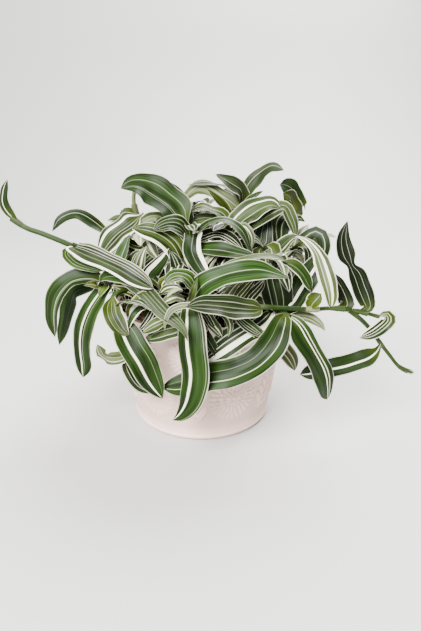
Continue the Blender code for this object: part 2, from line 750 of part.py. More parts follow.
def stem_object(name, path, radius, collection):
    """A tapering stem: a curve with a round bevel and filled caps, made a mesh."""
    curve = bpy.data.curves.new(name, "CURVE")
    curve.dimensions = "3D"
    curve.bevel_depth = radius * MM
    curve.bevel_resolution = 1
    curve.use_fill_caps = True
    line = curve.splines.new("POLY")
    line.points.add(len(path) - 1)
    for index, (point, place) in enumerate(zip(line.points, path)):
        point.co = (*(place * MM), 1.0)
        point.radius = 1.0 - (1.0 - TIP_TAPER) * index / (len(path) - 1)
    guide = bpy.data.objects.new(name + " line", curve)
    collection.objects.link(guide)
    mesh = baked_mesh(guide, name, merge=0.00001)
    bpy.data.objects.remove(guide)
    return add_object(name, mesh, collection)


def blade_object(name, rows, collection):
    """A channelled blade: an open strip of triangles with its thickness from Solidify."""
    mesh = bpy.data.meshes.new(name)
    shape = bmesh.new()
    flat = (rows[1][0] + rows[1][2] - 2 * rows[1][1]).length < 0.01
    lines = [[shape.verts.new(place * MM) for place in (row[:3:2] if flat else row[:3])] for row in rows]
    for first, second in zip(lines, lines[1:]):
        for side in range(len(first) - 1):
            shape.faces.new((first[side], first[side + 1], second[side + 1]))
            shape.faces.new((first[side], second[side + 1], second[side]))
    shape.to_mesh(mesh)
    shape.free()
    thing = add_object(name, mesh, collection)
    thickness = thing.modifiers.new("thickness", "SOLIDIFY")
    thickness.thickness = BLADE_THICKNESS * MM
    thickness.offset = 0.0
    return thing


def build_shoot(name, shoot, collection):
    """A leafy stem: its stems and blades joined in one solid."""
    pieces = bpy.data.collections.new(name + " pieces")
    bpy.context.scene.collection.children.link(pieces)
    main = stem_object(name, shoot["stems"][0], shoot["radius"], collection)
    for number, path in enumerate(shoot["stems"][1:]):
        stem_object(f"{name} side stem {number}", path, shoot["radius"] * SIDE_STEM_SHARE, pieces)
    for number, rows in enumerate(shoot["blades"]):
        blade_object(f"{name} blade {number}", rows, pieces)
    join = main.modifiers.new("leaves", "BOOLEAN")
    join.operation = "UNION"
    join.operand_type = "COLLECTION"
    join.collection = pieces
    mesh = baked_mesh(main, name)
    main.modifiers.clear()
    main.data = mesh
    mesh.materials.clear()
    mesh.materials.append(material(name + " leaf", "runner" if name.startswith("runner") else "leaf"))
    mesh.shade_smooth()
    mesh.set_sharp_from_angle(angle=math.radians(35))
    for piece in list(pieces.objects):
        bpy.data.objects.remove(piece)
    bpy.data.collections.remove(pieces)
    return main


def main():
    for thing in list(bpy.data.objects):
        bpy.data.objects.remove(thing)
    plant = bpy.data.collections.new("potted_murdannia")
    cutters = bpy.data.collections.new("cutters")
    for collection in (plant, cutters):
        bpy.context.scene.collection.children.link(collection)
    plan = plan_plant()
    build_pot(plant)
    roots = [(shoot["stems"][0][0].x, shoot["stems"][0][0].y, shoot["radius"]) for shoot in plan.values()]
    build_soil(plant, cutters, roots)
    for name, shoot in plan.items():
        build_shoot(name, shoot, plant)


main()
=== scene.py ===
"""Looks for the potted murdannia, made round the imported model.

The plant's paths and places are worked out in millimetres, as in the part's source, so that every stem
and leaf lies where its solid does. Meshes are written in metres.
"""

import math
import random

import bmesh
import bpy
import numpy as np
from mathutils import Matrix, Vector, noise
from mathutils.bvhtree import BVHTree


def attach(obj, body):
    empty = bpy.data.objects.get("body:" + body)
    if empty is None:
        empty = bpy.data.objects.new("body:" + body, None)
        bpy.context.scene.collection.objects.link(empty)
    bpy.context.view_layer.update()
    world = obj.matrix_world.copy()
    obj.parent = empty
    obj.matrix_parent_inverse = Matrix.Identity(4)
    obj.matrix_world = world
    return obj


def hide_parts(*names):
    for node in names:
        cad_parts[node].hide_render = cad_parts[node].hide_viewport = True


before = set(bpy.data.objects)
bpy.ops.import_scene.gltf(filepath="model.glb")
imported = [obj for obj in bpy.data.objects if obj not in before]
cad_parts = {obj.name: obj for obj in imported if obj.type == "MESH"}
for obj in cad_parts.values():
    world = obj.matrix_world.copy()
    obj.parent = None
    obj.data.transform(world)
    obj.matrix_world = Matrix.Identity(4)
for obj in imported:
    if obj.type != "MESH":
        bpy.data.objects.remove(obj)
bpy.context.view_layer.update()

MM = 0.001

# Pot and soil, as in the part's source
RIM_RADIUS = 75.0
FOOT_RADIUS = 62.0
POT_HEIGHT = 105.0
HEEL = 5.0
WALL = 4.0
FLOOR_THICKNESS = 5.0
LIP = 1.2
SOIL_EDGE_HEIGHT = 92.0
SOIL_CROWN = 4.0
TOUCH_GAP = 0.3
HOLE_DEPTH = 12.0
UPRIGHT = 1.0

# Stems and blades, as in the part's source
STEM_RADIUS = 2.0
RUNNER_RADIUS = 1.7
SIDE_STEM_SHARE = 0.9
TIP_TAPER = 0.7
STEM_STEP = 14.0
FINE_STEP = 0.5
CURVE_PARTS = 8
BLADE_THICKNESS = 0.8
BLADE_STEP = 15.5
HULL_SIDES = 6
ROOT_WIDTH = 2.2
SHEATH_SHARE = 0.3
WIDEST_FROM = 0.4
WIDEST_TO = 0.45
TAPER_POWER = 2.2
TIP_SHARE = 0.07
CHANNEL = 0.17
FLATTER_AHEAD = 0.6
WAVE = 0.07
WAVE_COUNT = 2.3
SHEATH_BACK = 5.0
ROOT_STAGGER = 1.3
STAGGERED = 5
CARRY = 0.7
CLEARANCES = (1.3, 0.9, 0.6)
NEAR_BASE = 0.2
NUDGES = (0, 5, -5, 10, -10, 15, -15, 20, -20, 26, -26)
EYE = Vector((8.0, -379.0, 227.0))
FRONT = (0.0, -0.72, 0.69)
UP = (0.0, -0.32, 0.95)

# Finer sampling for the looks
ROW_STEP = 2.4
FINE_PARTS = 24
TUBE_STEP = 3.0

# Leaf colours as a darker and a lighter band
TONES = {
    "dark": ("#060c02", "#0a1304"),
    "deep": ("#0b1603", "#132206"),
    "mid": ("#0e1b03", "#1a2e08"),
    "leafy": ("#122407", "#1f370c"),
    "moss": ("#182204", "#2d3a0c"),
    "slate": ("#141c0b", "#252f17"),
    # grey is a duller grey-green, partly a painted sheen: the grey cast that sky reflection gives leaves
    # facing up
    "grey": ("#1e2911", "#364322"),
    "olive": ("#222a05", "#3c440c"),
    "fresh": ("#1c2f0b", "#324a1a"),
    "lime": ("#263a05", "#42540c"),
    "sage": ("#363f22", "#5b6344"),
    "pale": ("#6a7050", "#96977a"),
}

# Looks of the blades: points round the thin oval, its thickness as a share of its width, the height of
# the ripples and how many a millimetre, the power that rounds the channel, how soon the blade reaches
# its width past its base, and the fold round the stem at the root
BLADE_SIDES = 24
THINNESS = 0.035
RIPPLE = 0.22
RIPPLE_PACE = 0.13
KEEL = 1.6
LEAST_CHANNEL = 0.1
POINTED = 0.012
DRAWN_BASE = 0.5
DRAWN_SHEATH = 0.05
FULL_FROM = 0.28
FULL_TO = 0.45
TIPS = {"full": 3.2, "blunt": 7.0, "slender": 0.6}
WAIST_DEPTH = 0.58
WAIST_LENGTH = 0.07
BASE_RISE = 11.0
BASE_REACH = 1.6
BASE_POWER = 1.5
FOLD = 0.5
FOLD_LENGTH = 14.0
STRIPES = 4
STRIPE_SOFTNESS = 0.022
BLADES_EACH = 20
SEED_STEP = 7.31

# Looks of the stems: sides, the swelling at each leaf and the sheath round the stem there, which is
# left out where it would be too far from a stem or too short
STEM_SIDES = 14
STEM_FULLNESS = 1.25
KNOT = 0.35
KNOT_LENGTH = 3.5
KNOT_PALENESS = 0.25
SHEATH_BELOW = 3.5
SHEATH_ABOVE = 7.5
SHEATH_WALL = 0.35
SHEATH_FLARE = 0.25
SHEATH_PALING = (0.8, 1.4)
SHEATH_STEPS = 7
SHEATH_REACH = 1.5
SHEATH_LEAST = 3.0
SHEATH_RUN = (11.0, 6.0)
SHEATH_SEED_STEP = 3.17

# Embossed pattern: rows of flowers (height, first angle, how many, radius), the whorls of petals in a
# flower (inner and outer radius as shares of its own, petals), and rows of leafy sprays between them
# (height, first angle, how many, tilt)
POT_SIDES = 700
RELIEF_ROWS = 112
RELIEF_GAPS = (1.0, 0.5)
RELIEF_DEPTH = 1.3
RELIEF_LEVEL = 0.7
RELIEF_BOTTOM = (9.0, 5.0)
RELIEF_TOP = (98.0, 4.0)
# How dark the painted shade in the relief's hollows is
HOLLOW_SHADE = 0.5
FORM_SLOPE = 2.5
FLOWER_ROWS = [(40.0, 294.0, 6, 21.0), (78.0, 324.0, 6, 17.0)]
FLOWER_TURN = 0.7
WHORLS = [(0.08, 0.4, 12), (0.34, 0.74, 20), (0.64, 1.04, 26)]
PETAL_WIDTH = 0.46
PETAL_GROOVE = (0.45, 0.07)
PETAL_FALL = 0.25
FLOWER_HEART = (0.1, 25.0)
SPRAY_ROWS = [(36.0, 264.0, 6, 68.0), (80.0, 294.0, 6, 112.0)]
SPRAY_LEAVES = 9
SPRAY_REACH = 15.0
SPRAY_ANGLE = 48.0
LEAFLET_LENGTH = 8.5
LEAFLET_TAPER = 0.45
LEAFLET_AHEAD = 0.75
LEAFLET_WIDTH = 0.3
LEAFLET_GROOVE = (0.5, 0.7)
STALK = (1.4, 0.6, 0.8)

# Soil: its mesh, the unevenness of its top and the crumbs on it
SOIL_SIDES = 140
SOIL_RINGS = 34
SOIL_SHOULDER = (0.4, 3.0)
SOIL_MIDDLE = 50.0
SOIL_ROUGHNESS = (0.9, 2.1, 4)
SOIL_PACE = 0.16
SOIL_SWING = 2.2
CRUMB_DENSITY = 70000.0
CRUMB_SIZES = (0.6, 1.9)
CRUMB_SEED = 4
CRUMB_TURN = 6.3
CRUMB_DENTS = 1.6

# Sockets of a Mix node that blends colours
MIX_UNDER = 6
MIX_OVER = 7
MIX_COLOUR = 2

# Floor and backdrop in metres: half the width, the front edge, where it bends up, the bend and its top
STAGE_HALF = 2.5
STAGE_FRONT = -1.6
STAGE_BACK = 0.9
STAGE_BEND = 0.6
STAGE_TOP = 2.4

# Lamps in metres and watts: name, place, diameter and power; and what they are aimed at
LAMPS = [("key", (-0.7, -1.3, 1.4), 1.1, 185.0), ("back", (0.5, 0.9, 1.4), 1.3, 110.0)]
AIM = (0.0, 0.0, 0.1)
DAYLIGHT = 0.75

# Camera: focal length in pixels of the photograph's frame, that frame's height, and how far it looks down
FOCAL_PIXELS = 450.0
FRAME_HEIGHT = 631.0
CAMERA_PITCH = 20.0
SENSOR = 36.0


def look(tone, *stripes, edges=(0.06, 0.06), lines=0.1):
    """How a blade is marked, across it from -1 to 1: each stripe is its place, width and strength, edges
    are the widths of the pale margins, and lines is the strength of the fine pinstripes."""
    return {"tone": tone, "stripes": stripes, "edges": edges, "lines": lines}


def leaf(width, *points, look, face=FRONT, roll=(0.0, 0.0), shown=None, turn=None, base=DRAWN_BASE,
         tip="full", waist=None, free=False, sheath=DRAWN_SHEATH):
    """One blade. Each point is x, z, near: its place seen from EYE on the upright plane through
    the pot's axis, and how far it stands in front of that plane. The first point is past the stem.
    Where shown is given, it holds the width and points of the finer blade, and turn its own roll. Base
    is how wide the finer blade is at its base, as a share of its full width, and tip names how it ends.
    A waist is the place along it, from 0 to 1, where the finer blade is drawn narrow, as a twist makes
    it look. Where it is free, the finer blade starts at its own first point, not at the stem. Sheath is how
    pale the sheath round its stem is."""
    return {"width": width, "points": points, "look": look, "face": face, "roll": roll, "shown": shown,
            "turn": turn, "base": base, "tip": tip, "waist": waist, "free": free, "sheath": sheath}


def shoot(root, stem, *leaves, branch=(), top=None, fullness=STEM_FULLNESS, pale=0.0):
    """One shoot: its root in the soil at x, y, its stem's points as a leaf's are, its leaves, its side
    stem's points, its stem's top x, y, z where it has no points, how much thicker than the solid's its
    stems are, and how much paler its stems and sheaths are painted: painted light that lifts a stem lying
    in the shade of the leaves above it."""
    return {"root": root, "stem": stem, "leaves": leaves, "branch": branch, "top": top,
            "fullness": fullness, "pale": pale}


# The shoots that the photograph shows
SHOOTS = {
    "shoot_front": shoot(
        (-4, -38), [(-9, 92, 58), (-11, 98, 70), (-10, 104, 75)],
        leaf(25, (-10, 93, 82), (-9, 80, 88), (-8, 55, 98), (-6, 25, 101), (-11, 0, 99), (-24, -18, 95),
             look=look("mid", (0.38, 0.2, 1.0), (-0.75, 0.03, 0.3), edges=(0.07, 0.04), lines=0.05),
             shown=(25, (-10, 93, 82), (-9, 80, 88), (-8, 55, 95), (-6, 25, 98), (-11, 0, 97),
                    (-21, -15, 94), (-29, -20, 91))),
        leaf(20, (2, 114, 81), (22, 129, 85), (45, 132, 85), (70, 128, 81), base=0.15,
             look=look("leafy", (-0.1, 0.04, 0.42), edges=(0.05, 0.07)),
             shown=(21, (-8, 101, 78), (-3, 110, 81), (4, 118, 84), (16, 124, 85), (34, 129, 85),
                    (53, 130, 83), (76, 124, 80))),
        leaf(13, (-9, 119, 79), (-12, 128, 82), (-22, 128, 84), (-32, 115, 86), base=0.3, free=True,
             look=look("fresh", (-0.6, 0.05, 0.4), (-0.1, 0.05, 0.4), (0.4, 0.05, 0.4), edges=(0.07, 0.07)),
             shown=(14, (-7, 106, 78), (-8, 117, 80), (-13, 124, 82), (-21, 126, 83), (-28, 123, 84),
                    (-32, 118, 84))),
        leaf(6, (-7, 112, 82), (-3, 125, 82), look=look("moss", edges=(0.03, 0.03))),
        leaf(11, (8, 124, 72), (30, 142, 70), (55, 145, 68), (80, 139, 64), (92, 126, 62), (96, 112, 62),
             face=UP, look=look("moss", (0.2, 0.04, 0.34), edges=(0.06, 0.14)),
             shown=(10, (18, 130, 72), (38, 140, 70), (57, 143, 68), (71, 140, 64), (77, 134, 62))),
        leaf(13, (-22, 84, 84), (-36, 76, 84), (-52, 66, 80), face=UP, turn=(-35, -35),
             look=look("grey", (-0.4, 0.06, 0.4), (0.3, 0.05, 0.5), edges=(0.1, 0.08), lines=0.2),
             shown=(17, (-21, 77, 84), (-33, 73, 85), (-44, 69, 84), (-53, 65, 82))),
        leaf(7, (2, 90, 76), (8, 80, 80), (17, 67, 81),
             look=look("deep", (0.3, 0.06, 0.44), (-0.3, 0.06, 0.44), edges=(0.1, 0.1)))),
    "runner_right": shoot(
        (24, -46), [(42, 95, 66), (52, 97, 71), (75, 96, 67), (101, 95, 61), (120, 96, 57), (140, 93, 53),
                    (159, 88, 50)],
        leaf(18, (42, 97, 80), (22, 99, 88), (2, 99, 91), (-14, 96, 91), (-27, 91, 89), (-35, 75, 87),
             base=0.6, free=True,
             look=look("slate", (0.45, 0.04, 0.38), (0, 0.03, 0.3), (-0.45, 0.03, 0.3), edges=(0.07, 0.05)),
             shown=(21, (53, 95, 73), (45, 94.5, 80), (30, 95.5, 86), (14, 98, 90), (-2, 99, 91),
                    (-14, 97, 91))),
        leaf(16, (148, 100, 51), (143, 113, 49), (133, 131, 45), (127, 142, 43), (121, 156, 41),
             (119, 171, 39), roll=(0, 180), turn=(-15, -20), waist=0.56,
             look=look("dark", (0.35, 0.04, 0.3), (-0.3, 0.04, 0.3), edges=(0.05, 0.05), lines=0.05),
             shown=(17, (148, 96, 51), (145, 105, 50), (140, 115, 48), (135, 126, 46), (129, 135, 45),
                    (123, 147, 43), (120, 159, 41), (122, 173, 39))),
        leaf(14, (165, 90, 53), (168, 83, 55), (158, 75, 57), (141, 69, 59), base=0.7, free=True,
             look=look("deep", (0.4, 0.1, 0.8), (0, 0.06, 0.68), (-0.4, 0.06, 0.68), edges=(0.1, 0.2)),
             shown=(13, (160, 89, 52), (165, 90, 53), (168, 85, 54), (162, 77, 56), (154, 71, 58),
                    (144, 67, 59))),
        leaf(17, (150, 50, 55), (128, 42, 57), (108, 37, 59), (91, 32, 59), base=0.4, tip="blunt",
             free=True, look=look("deep", (-0.15, 0.2, 0.9), lines=0.05),
             shown=(18, (164, 61, 52), (161, 54, 54), (154, 48, 56), (145, 44, 57), (134, 40, 58),
                    (122, 37, 59), (106, 33, 59), (92, 30, 59))),
        leaf(11, (121, 110, 52), (114, 122, 48), (106, 133, 44),
             look=look("dark", (0.2, 0.04, 0.34), edges=(0.05, 0.05), lines=0.05),
             shown=(14, (128, 98, 52), (124, 110, 50), (117, 121, 48), (111, 130, 44))),
        leaf(11, (36, 88, 76), (45, 80, 81), (58, 68, 82),
             look=look("mid", (0.5, 0.06, 0.51), (0.1, 0.06, 0.51), (-0.3, 0.06, 0.51), edges=(0.08, 0.08)),
             shown=(12, (30, 92, 76), (36, 84, 80), (46, 76, 83), (58, 68, 83))),
        leaf(5, (192, 34, 47), (200, 32, 46), look=look("pale", edges=(0.03, 0.03), lines=0.2)),
        branch=[(133, 93.5, 55), (150, 79, 52), (163, 63, 50), (180, 43, 48), (189, 34, 47),
                (197, 31.5, 46)]),
    "shoot_lower_right": shoot(
        (41, -36), [(62, 96, 52), (72, 91, 66), (79, 87, 71)],
        leaf(25, (71, 78, 82), (66, 62, 89), (52, 44, 93), (30, 32, 93), (6, 27, 90), (-16, 20, 87),
             (-38, 16, 83), tip="blunt",
             look=look("mid", (-0.38, 0.06, 0.48), (0.3, 0.02, 0.2), edges=(0.05, 0.05), lines=0.05),
             shown=(27, (71, 78, 82), (66, 62, 89), (52, 44, 93), (30, 32, 93), (6, 27, 90), (-16, 20, 87),
                    (-38, 16, 83))),
        leaf(18, (85, 79, 75), (92, 66, 77), (106, 44, 77), (115, 24, 75), (120, 5, 71), tip="blunt",
             look=look("mid", (-0.3, 0.08, 1.0), (-0.58, 0.06, 0.8), edges=(0.05, 0.06), lines=0.05),
             shown=(21, (85, 79, 75), (92, 66, 77), (106, 44, 77), (115, 24, 75), (120, 3, 71))),
        leaf(6, (86, 90, 74), (98, 88, 74), (108, 82, 72), (114, 73, 70),
             look=look("sage", (0.3, 0.06, 0.4), (-0.3, 0.06, 0.3), edges=(0.1, 0.08)),
             shown=(11, (73, 86, 74), (85, 88, 74), (96, 87, 72), (106, 81, 71), (112, 74, 70))),
        leaf(16, (52, 71, 74), (38, 64, 77), (20, 57, 79), (4, 50, 80), tip="blunt",
             look=look("deep", (-0.38, 0.42, 0.95), (0.12, 0.06, 0.51), (0.5, 0.06, 0.51),
                       edges=(0.06, 0.08), lines=0.05),
             shown=(25, (52, 80, 76), (40, 73, 78), (27, 64, 80), (14, 54, 80), (1, 43, 80))),
        leaf(13, (78, 104, 58), (87, 113, 52), (97, 121, 46),
             look=look("deep", (0.1, 0.24, 0.95), lines=0.05),
             shown=(22, (78, 100, 58), (86, 113, 54), (94, 127, 48), (100, 139, 44), (103, 150, 42)))),
    "shoot_left_front": shoot(
        (-32, -28), [(-62, 112, 40), (-77, 107, 54), (-75, 86, 68), (-73, 77, 72)],
        leaf(25, (-72, 69, 80), (-66, 54, 86), (-56, 32, 88), (-47, 14, 86), (-38, 2, 82),
             look=look("mid", (0.28, 0.18, 1.0), (-0.5, 0.02, 0.25), lines=0.05),
             shown=(26, (-69, 73, 80), (-63, 59, 85), (-56, 45, 88), (-51, 32, 87), (-45, 18, 85),
                    (-38, 4, 82))),
        leaf(20, (-82, 102, 66), (-80, 90, 77), (-73, 74, 83), base=0.6, free=True,
             look=look("moss", (0.5, 0.03, 0.3), (0.1, 0.03, 0.25), (-0.3, 0.03, 0.3), edges=(0.13, 0.06),
                       lines=0.05),
             shown=(17, (-78, 107, 66), (-79, 100, 70), (-79, 90, 74), (-76, 82, 78), (-72, 75, 81),
                    (-66, 70, 83))),
        leaf(14, (-77, 56, 62), (-73, 36, 64), (-62, 20, 66), (-44, 8, 66), free=True,
             look=look("deep", (0, 0.14, 0.8), (-0.5, 0.07, 0.6), (0.5, 0.05, 0.38), edges=(0.07, 0.07)),
             shown=(18, (-66, 54, 62), (-67, 43, 64), (-64, 32, 66), (-58, 21, 68), (-50, 15, 70),
                    (-43, 11, 71))),
        leaf(9, (-80, 55, 68), (-89, 49, 66), (-95, 60, 62), base=0.8, waist=0.65, free=True,
             look=look("sage", (-0.4, 0.1, 0.6), (0.2, 0.05, 0.4), edges=(0.15, 0.06)),
             shown=(13, (-66, 52, 63), (-75, 47, 66), (-84, 46, 67), (-92, 50, 66), (-96, 61, 64)))),
    "shoot_left": shoot(
        (-47, -12), [(-72, 122, 16), (-88, 115, 27)],
        leaf(17, (-92, 104, 36), (-101, 86, 39), (-106, 62, 39), (-108, 42, 37), (-112, 27, 33),
             tip="blunt", look=look("mid", (0.28, 0.15, 0.9), (0.0, 0.03, 0.34), edges=(0.05, 0.06)),
             shown=(18, (-83, 117, 36), (-90, 106, 38), (-99, 93, 39), (-105, 80, 39), (-109, 65, 38),
                    (-110, 51, 37), (-110, 39, 35), (-112, 27, 33))),
        leaf(17, (-96, 125, 24), (-112, 123, 26), (-127, 110, 28), (-134, 90, 28), (-134, 68, 26),
             look=look("mid", (-0.3, 0.05, 0.5), (-0.45, 0.03, 0.3), edges=(0.04, 0.05))),
        leaf(13, (-100, 118, 18), (-113, 112, 14), (-118, 98, 12), (-124, 80, 12), (-130, 62, 14),
             look=look("mid"),
             shown=(17, (-98, 117, 18), (-112, 112, 14), (-118, 98, 12), (-124, 80, 12), (-131, 60, 14))),
        leaf(11, (-84, 124, 34), (-72, 124, 42), (-60, 119, 46), (-52, 108, 48), face=UP,
             look=look("grey", (0.3, 0.03, 0.3), (-0.1, 0.03, 0.3), (-0.5, 0.03, 0.3), edges=(0.05, 0.06),
                       lines=0.05),
             shown=(16, (-77, 126, 32), (-64, 121, 41), (-52, 112, 55), (-43, 102, 70), (-34, 91, 84),
                    (-24, 83, 92), (-16, 74, 98), (-13, 64, 101)))),
    "runner_left": shoot(
        (-40, 8), [(-58, 130, 8), (-85, 143, 17), (-108, 151.5, 22), (-130, 161, 22), (-148, 168, 20),
                   (-157, 175, 18)],
        leaf(17, (-101, 147, 31), (-84, 140, 40), (-62, 130, 50), (-46, 119, 58), (-33, 103, 68),
             (-20, 86, 75), tip="blunt",
             look=look("slate", (-0.74, 0.05, 0.6), (-0.45, 0.04, 0.5), (-0.22, 0.03, 0.4),
                       (0.2, 0.02, 0.25), edges=(0.07, 0.24)),
             shown=(17, (-108, 150, 31), (-97, 145, 38), (-83, 139, 44), (-69, 132, 50), (-55, 123, 55),
                    (-42, 114, 58))),
        leaf(8, (-161, 186, 18), (-160, 196, 17), (-156, 206, 16), look=look("deep", (-0.35, 0.12, 0.8))),
        leaf(5, (-164, 185, 15), (-162, 199, 13),
             look=look("pale", (0, 0.4, 0.5), edges=(0.03, 0.03), lines=0.2),
             shown=(5, (-163, 185, 15), (-161, 199, 13))),
        leaf(8, (-115, 146, 26), (-109, 137, 24), (-96, 132, 22), (-84, 130, 20),
             look=look("fresh", (0.3, 0.06, 0.38), (-0.3, 0.06, 0.38), edges=(0.07, 0.07))),
        fullness=1.7),
    "shoot_top_left": shoot(
        (-12, -12), [(-14, 130, 17), (-12, 150, 18), (-11, 167, 14)],
        leaf(21, (-16, 176, 10), (-28, 190, 6), (-42, 203, 4), (-54, 208, 4), (-66, 201, 6), base=0.35,
             free=True,
             look=look("mid", (0.45, 0.03, 0.25), (-0.2, 0.03, 0.25), (-0.32, 0.02, 0.2),
                       edges=(0.03, 0.03), lines=0.05),
             shown=(29, (-11, 168, 16), (-16, 176, 14), (-23, 185, 12), (-31, 191, 10), (-40, 197, 8),
                    (-48, 201, 9), (-56, 202, 10), (-65, 199, 12))),
        leaf(15, (-10, 161, 27), (-10, 148, 35), (-4, 137, 43), (6, 124, 51), base=0.3,
             look=look("deep", (-0.5, 0.03, 0.3), (0.05, 0.03, 0.26), edges=(0.5, 0.07)),
             shown=(15.5, (-6, 162, 27), (-8, 148, 35), (-3, 136, 43), (8, 122, 51))),
        leaf(11, (-3, 163, 24), (8, 171, 28), (20, 173, 30), (33, 165, 32), (40, 152, 34), (43, 142, 34),
             face=UP, look=look("mid", (-0.2, 0.05, 0.26))),
        leaf(13, (-15, 172, 22), (-24, 174, 26), (-33, 171, 28), (-43, 166, 30),
             look=look("mid", (0.6, 0.03, 0.35), (0.2, 0.03, 0.35), (-0.2, 0.03, 0.35), (-0.6, 0.03, 0.35),
                       edges=(0.05, 0.05)),
             shown=(17, (-14, 164, 22), (-19, 169, 26), (-27, 170, 28), (-34, 168, 30), (-40, 165, 31))),
        leaf(13, (-16, 142, 28), (-27, 155, 30), (-42, 164, 30), (-60, 169, 26),
             look=look("moss", (0.45, 0.04, 0.42), (0.05, 0.04, 0.42), edges=(0.32, 0.06), lines=0.2),
             shown=(19, (-18, 140, 28), (-25, 153, 30), (-36, 161, 30), (-47, 165, 29), (-58, 167, 26))),
        leaf(14, (0, 150, 34), (14, 150, 42), (30, 148, 46), (46, 144, 46),
             look=look("mid", (0.1, 0.03, 0.5), lines=0.05),
             shown=(14, (0, 149, 34), (14, 149, 42), (30, 146, 46), (49, 142, 46))),
        leaf(10, (2, 160, 20), (14, 163, 20), (26, 158, 22), (37, 147, 26),
             look=look("deep", (0.45, 0.08, 0.8), (-0.1, 0.08, 0.8), edges=(0.1, 0.1)))),
    "shoot_centre": shoot(
        (22, -16), [(24, 140, 14), (24, 167, 8)],
        leaf(15, (34, 178, 8), (48, 186, 6), (62, 189, 4), (72, 181, 4), (77, 170, 6), (77, 160, 8),
             look=look("grey", (-0.45, 0.14, 0.9), (0.3, 0.04, 0.42), edges=(0.06, 0.08), lines=0.15),
             shown=(20, (33, 174, 8), (41, 180, 6), (50, 185, 5), (59, 187, 5), (66, 183, 6))),
        leaf(12, (20, 177, 6), (10, 182, 8), (-2, 182, 8), (-13, 177, 8), face=UP,
             look=look("moss", (0.3, 0.05, 0.42), (-0.3, 0.05, 0.42), edges=(0.08, 0.08), lines=0.15),
             shown=(13, (18, 177, 6), (10, 181, 8), (1, 184, 8), (-6, 182, 8), (-12, 177, 8))),
        leaf(9, (32, 172, 16), (42, 168, 20), (45, 156, 22), (43, 143, 24),
             look=look("sage", (0.1, 0.3, 0.7), edges=(0.08, 0.08)),
             shown=(6, (35, 169, 16), (40, 165, 20), (43, 159, 22), (43, 149, 24))),
        leaf(18, (44, 164, 2), (54, 162, 4), (57, 152, 8), (56, 140, 10), base=0.9, free=True,
             look=look("grey", (0.5, 0.05, 0.38), (0.05, 0.05, 0.38), (-0.4, 0.05, 0.38)),
             shown=(25, (53, 151, 8), (55, 147, 12), (56, 140, 16), (57, 130, 20)))),
    "shoot_top": shoot(
        (14, 8), [(22, 150, -8), (32, 176, -16), (36, 189, -20)],
        leaf(13, (38, 198, -20), (46, 209, -20), (57, 217, -18), (67, 214, -14),
             look=look("slate", (-0.35, 0.05, 0.4), edges=(0.05, 0.05)),
             shown=(13, (38, 197, -20), (46, 207, -20), (57, 215, -18), (67, 213, -14))),
        leaf(11, (33, 196, -12), (26, 202, -8), (14, 208, -6), look=look("slate", (0, 0.05, 0.32)),
             shown=(14, (33, 197, -12), (26, 202, -8), (12, 210, -6))),
        leaf(6, (24, 198, -22), (10, 202, -26), (-12, 202, -28), face=UP,
             look=look("slate", (0, 0.1, 0.5))),
        leaf(10, (20, 194, -28), (8, 200, -30), (-5, 198, -30), (-17, 184, -28),
             look=look("sage", (0.2, 0.08, 0.4), edges=(0.05, 0.05), lines=0.2),
             shown=(14, (4, 199, -28), (-3, 199, -29), (-11, 193, -30), (-19, 186, -29))),
        leaf(8, (20, 184, -6), (12, 192, -4), (5, 199, -4), look=look("olive", edges=(0.1, 0.08))),
        leaf(6, (38, 188, -10), (44, 193, -8), (51, 197, -6), look=look("mid", (0.2, 0.06, 0.32))),
        leaf(14, (30, 184, -28), (26, 190, -32), (20, 196, -34),
             look=look("deep", (0, 0.04, 0.34), edges=(0.05, 0.05)),
             shown=(13, (31, 187, -28), (25, 193, -30), (18, 193, -32), (15, 187, -33)))),
    "shoot_back_right": shoot(
        (42, 24), [(62, 150, -28), (76, 172, -34), (82, 183, -32)],
        leaf(13, (82, 192, -30), (75, 200, -28), (66, 203, -26), (59, 194, -24), base=0.6, tip="blunt",
             look=look("deep", (0.2, 0.03, 0.26), edges=(0.03, 0.03), lines=0.05),
             shown=(18, (78, 184, -30), (77, 192, -28), (71, 199, -26), (64, 202, -25))),
        leaf(10, (76, 184, -24), (73, 190, -20), (66, 194, -18), base=0.9,
             look=look("olive", (0.2, 0.03, 0.26), edges=(0.05, 0.05)),
             shown=(22, (76, 176, -26), (74, 183, -24), (72, 190, -22), (67, 195, -20))),
        leaf(16, (70, 176, -10), (66, 170, -6), (66, 160, -4), (67, 150, -4),
             look=look("deep", (0.35, 0.06, 0.38), (-0.2, 0.06, 0.38)),
             shown=(19, (70, 176, -10), (66, 170, -6), (66, 160, -4), (67, 150, -4))),
        leaf(4, (84, 192, -38), (86, 181, -40), look=look("deep")),
        leaf(5, (80, 176, -26), (87, 172, -24), look=look("deep", (0, 0.12, 0.6)))),
    "shoot_right": shoot(
        (48, -2), [(66, 132, 0), (80, 150, 2), (88, 156, 4)],
        leaf(10, (72, 150, 12), (84, 160, 20), (97, 153, 32), (104, 138, 44), (107, 120, 54),
             (107, 104, 60), base=0.75, tip="slender", free=True,
             look=look("sage", (0.35, 0.3, 0.9), (-0.2, 0.1, 0.4), edges=(0.28, 0.1), lines=0.3),
             shown=(16, (115, 97, 58), (113, 109, 58), (109, 122, 56), (104, 135, 52), (99, 146, 48),
                    (93, 153, 42), (86, 158, 32), (80, 160, 22), (76, 158, 14))),
        leaf(15, (92, 162, 2), (99, 165, 4), (105, 158, 6), (106, 142, 8),
             look=look("deep", (0.45, 0.1, 0.8), (-0.5, 0.05, 0.5)),
             shown=(18, (87, 151, 2), (92, 157, 4), (97, 160, 6), (100, 154, 8), (100, 143, 10),
                    (98, 130, 11))),
        leaf(12, (90, 152, 14), (94, 145, 18), (94, 135, 20), (93, 122, 20),
             look=look("deep", (0.4, 0.05, 0.38), (0, 0.05, 0.38), (-0.4, 0.05, 0.38))),
        leaf(7, (86, 164, -6), (92, 171, -8), look=look("pale", (0, 0.2, 0.6), edges=(0.08, 0.08)),
             shown=(8, (81, 159, -4), (86, 165, -6), (90, 170, -8))),
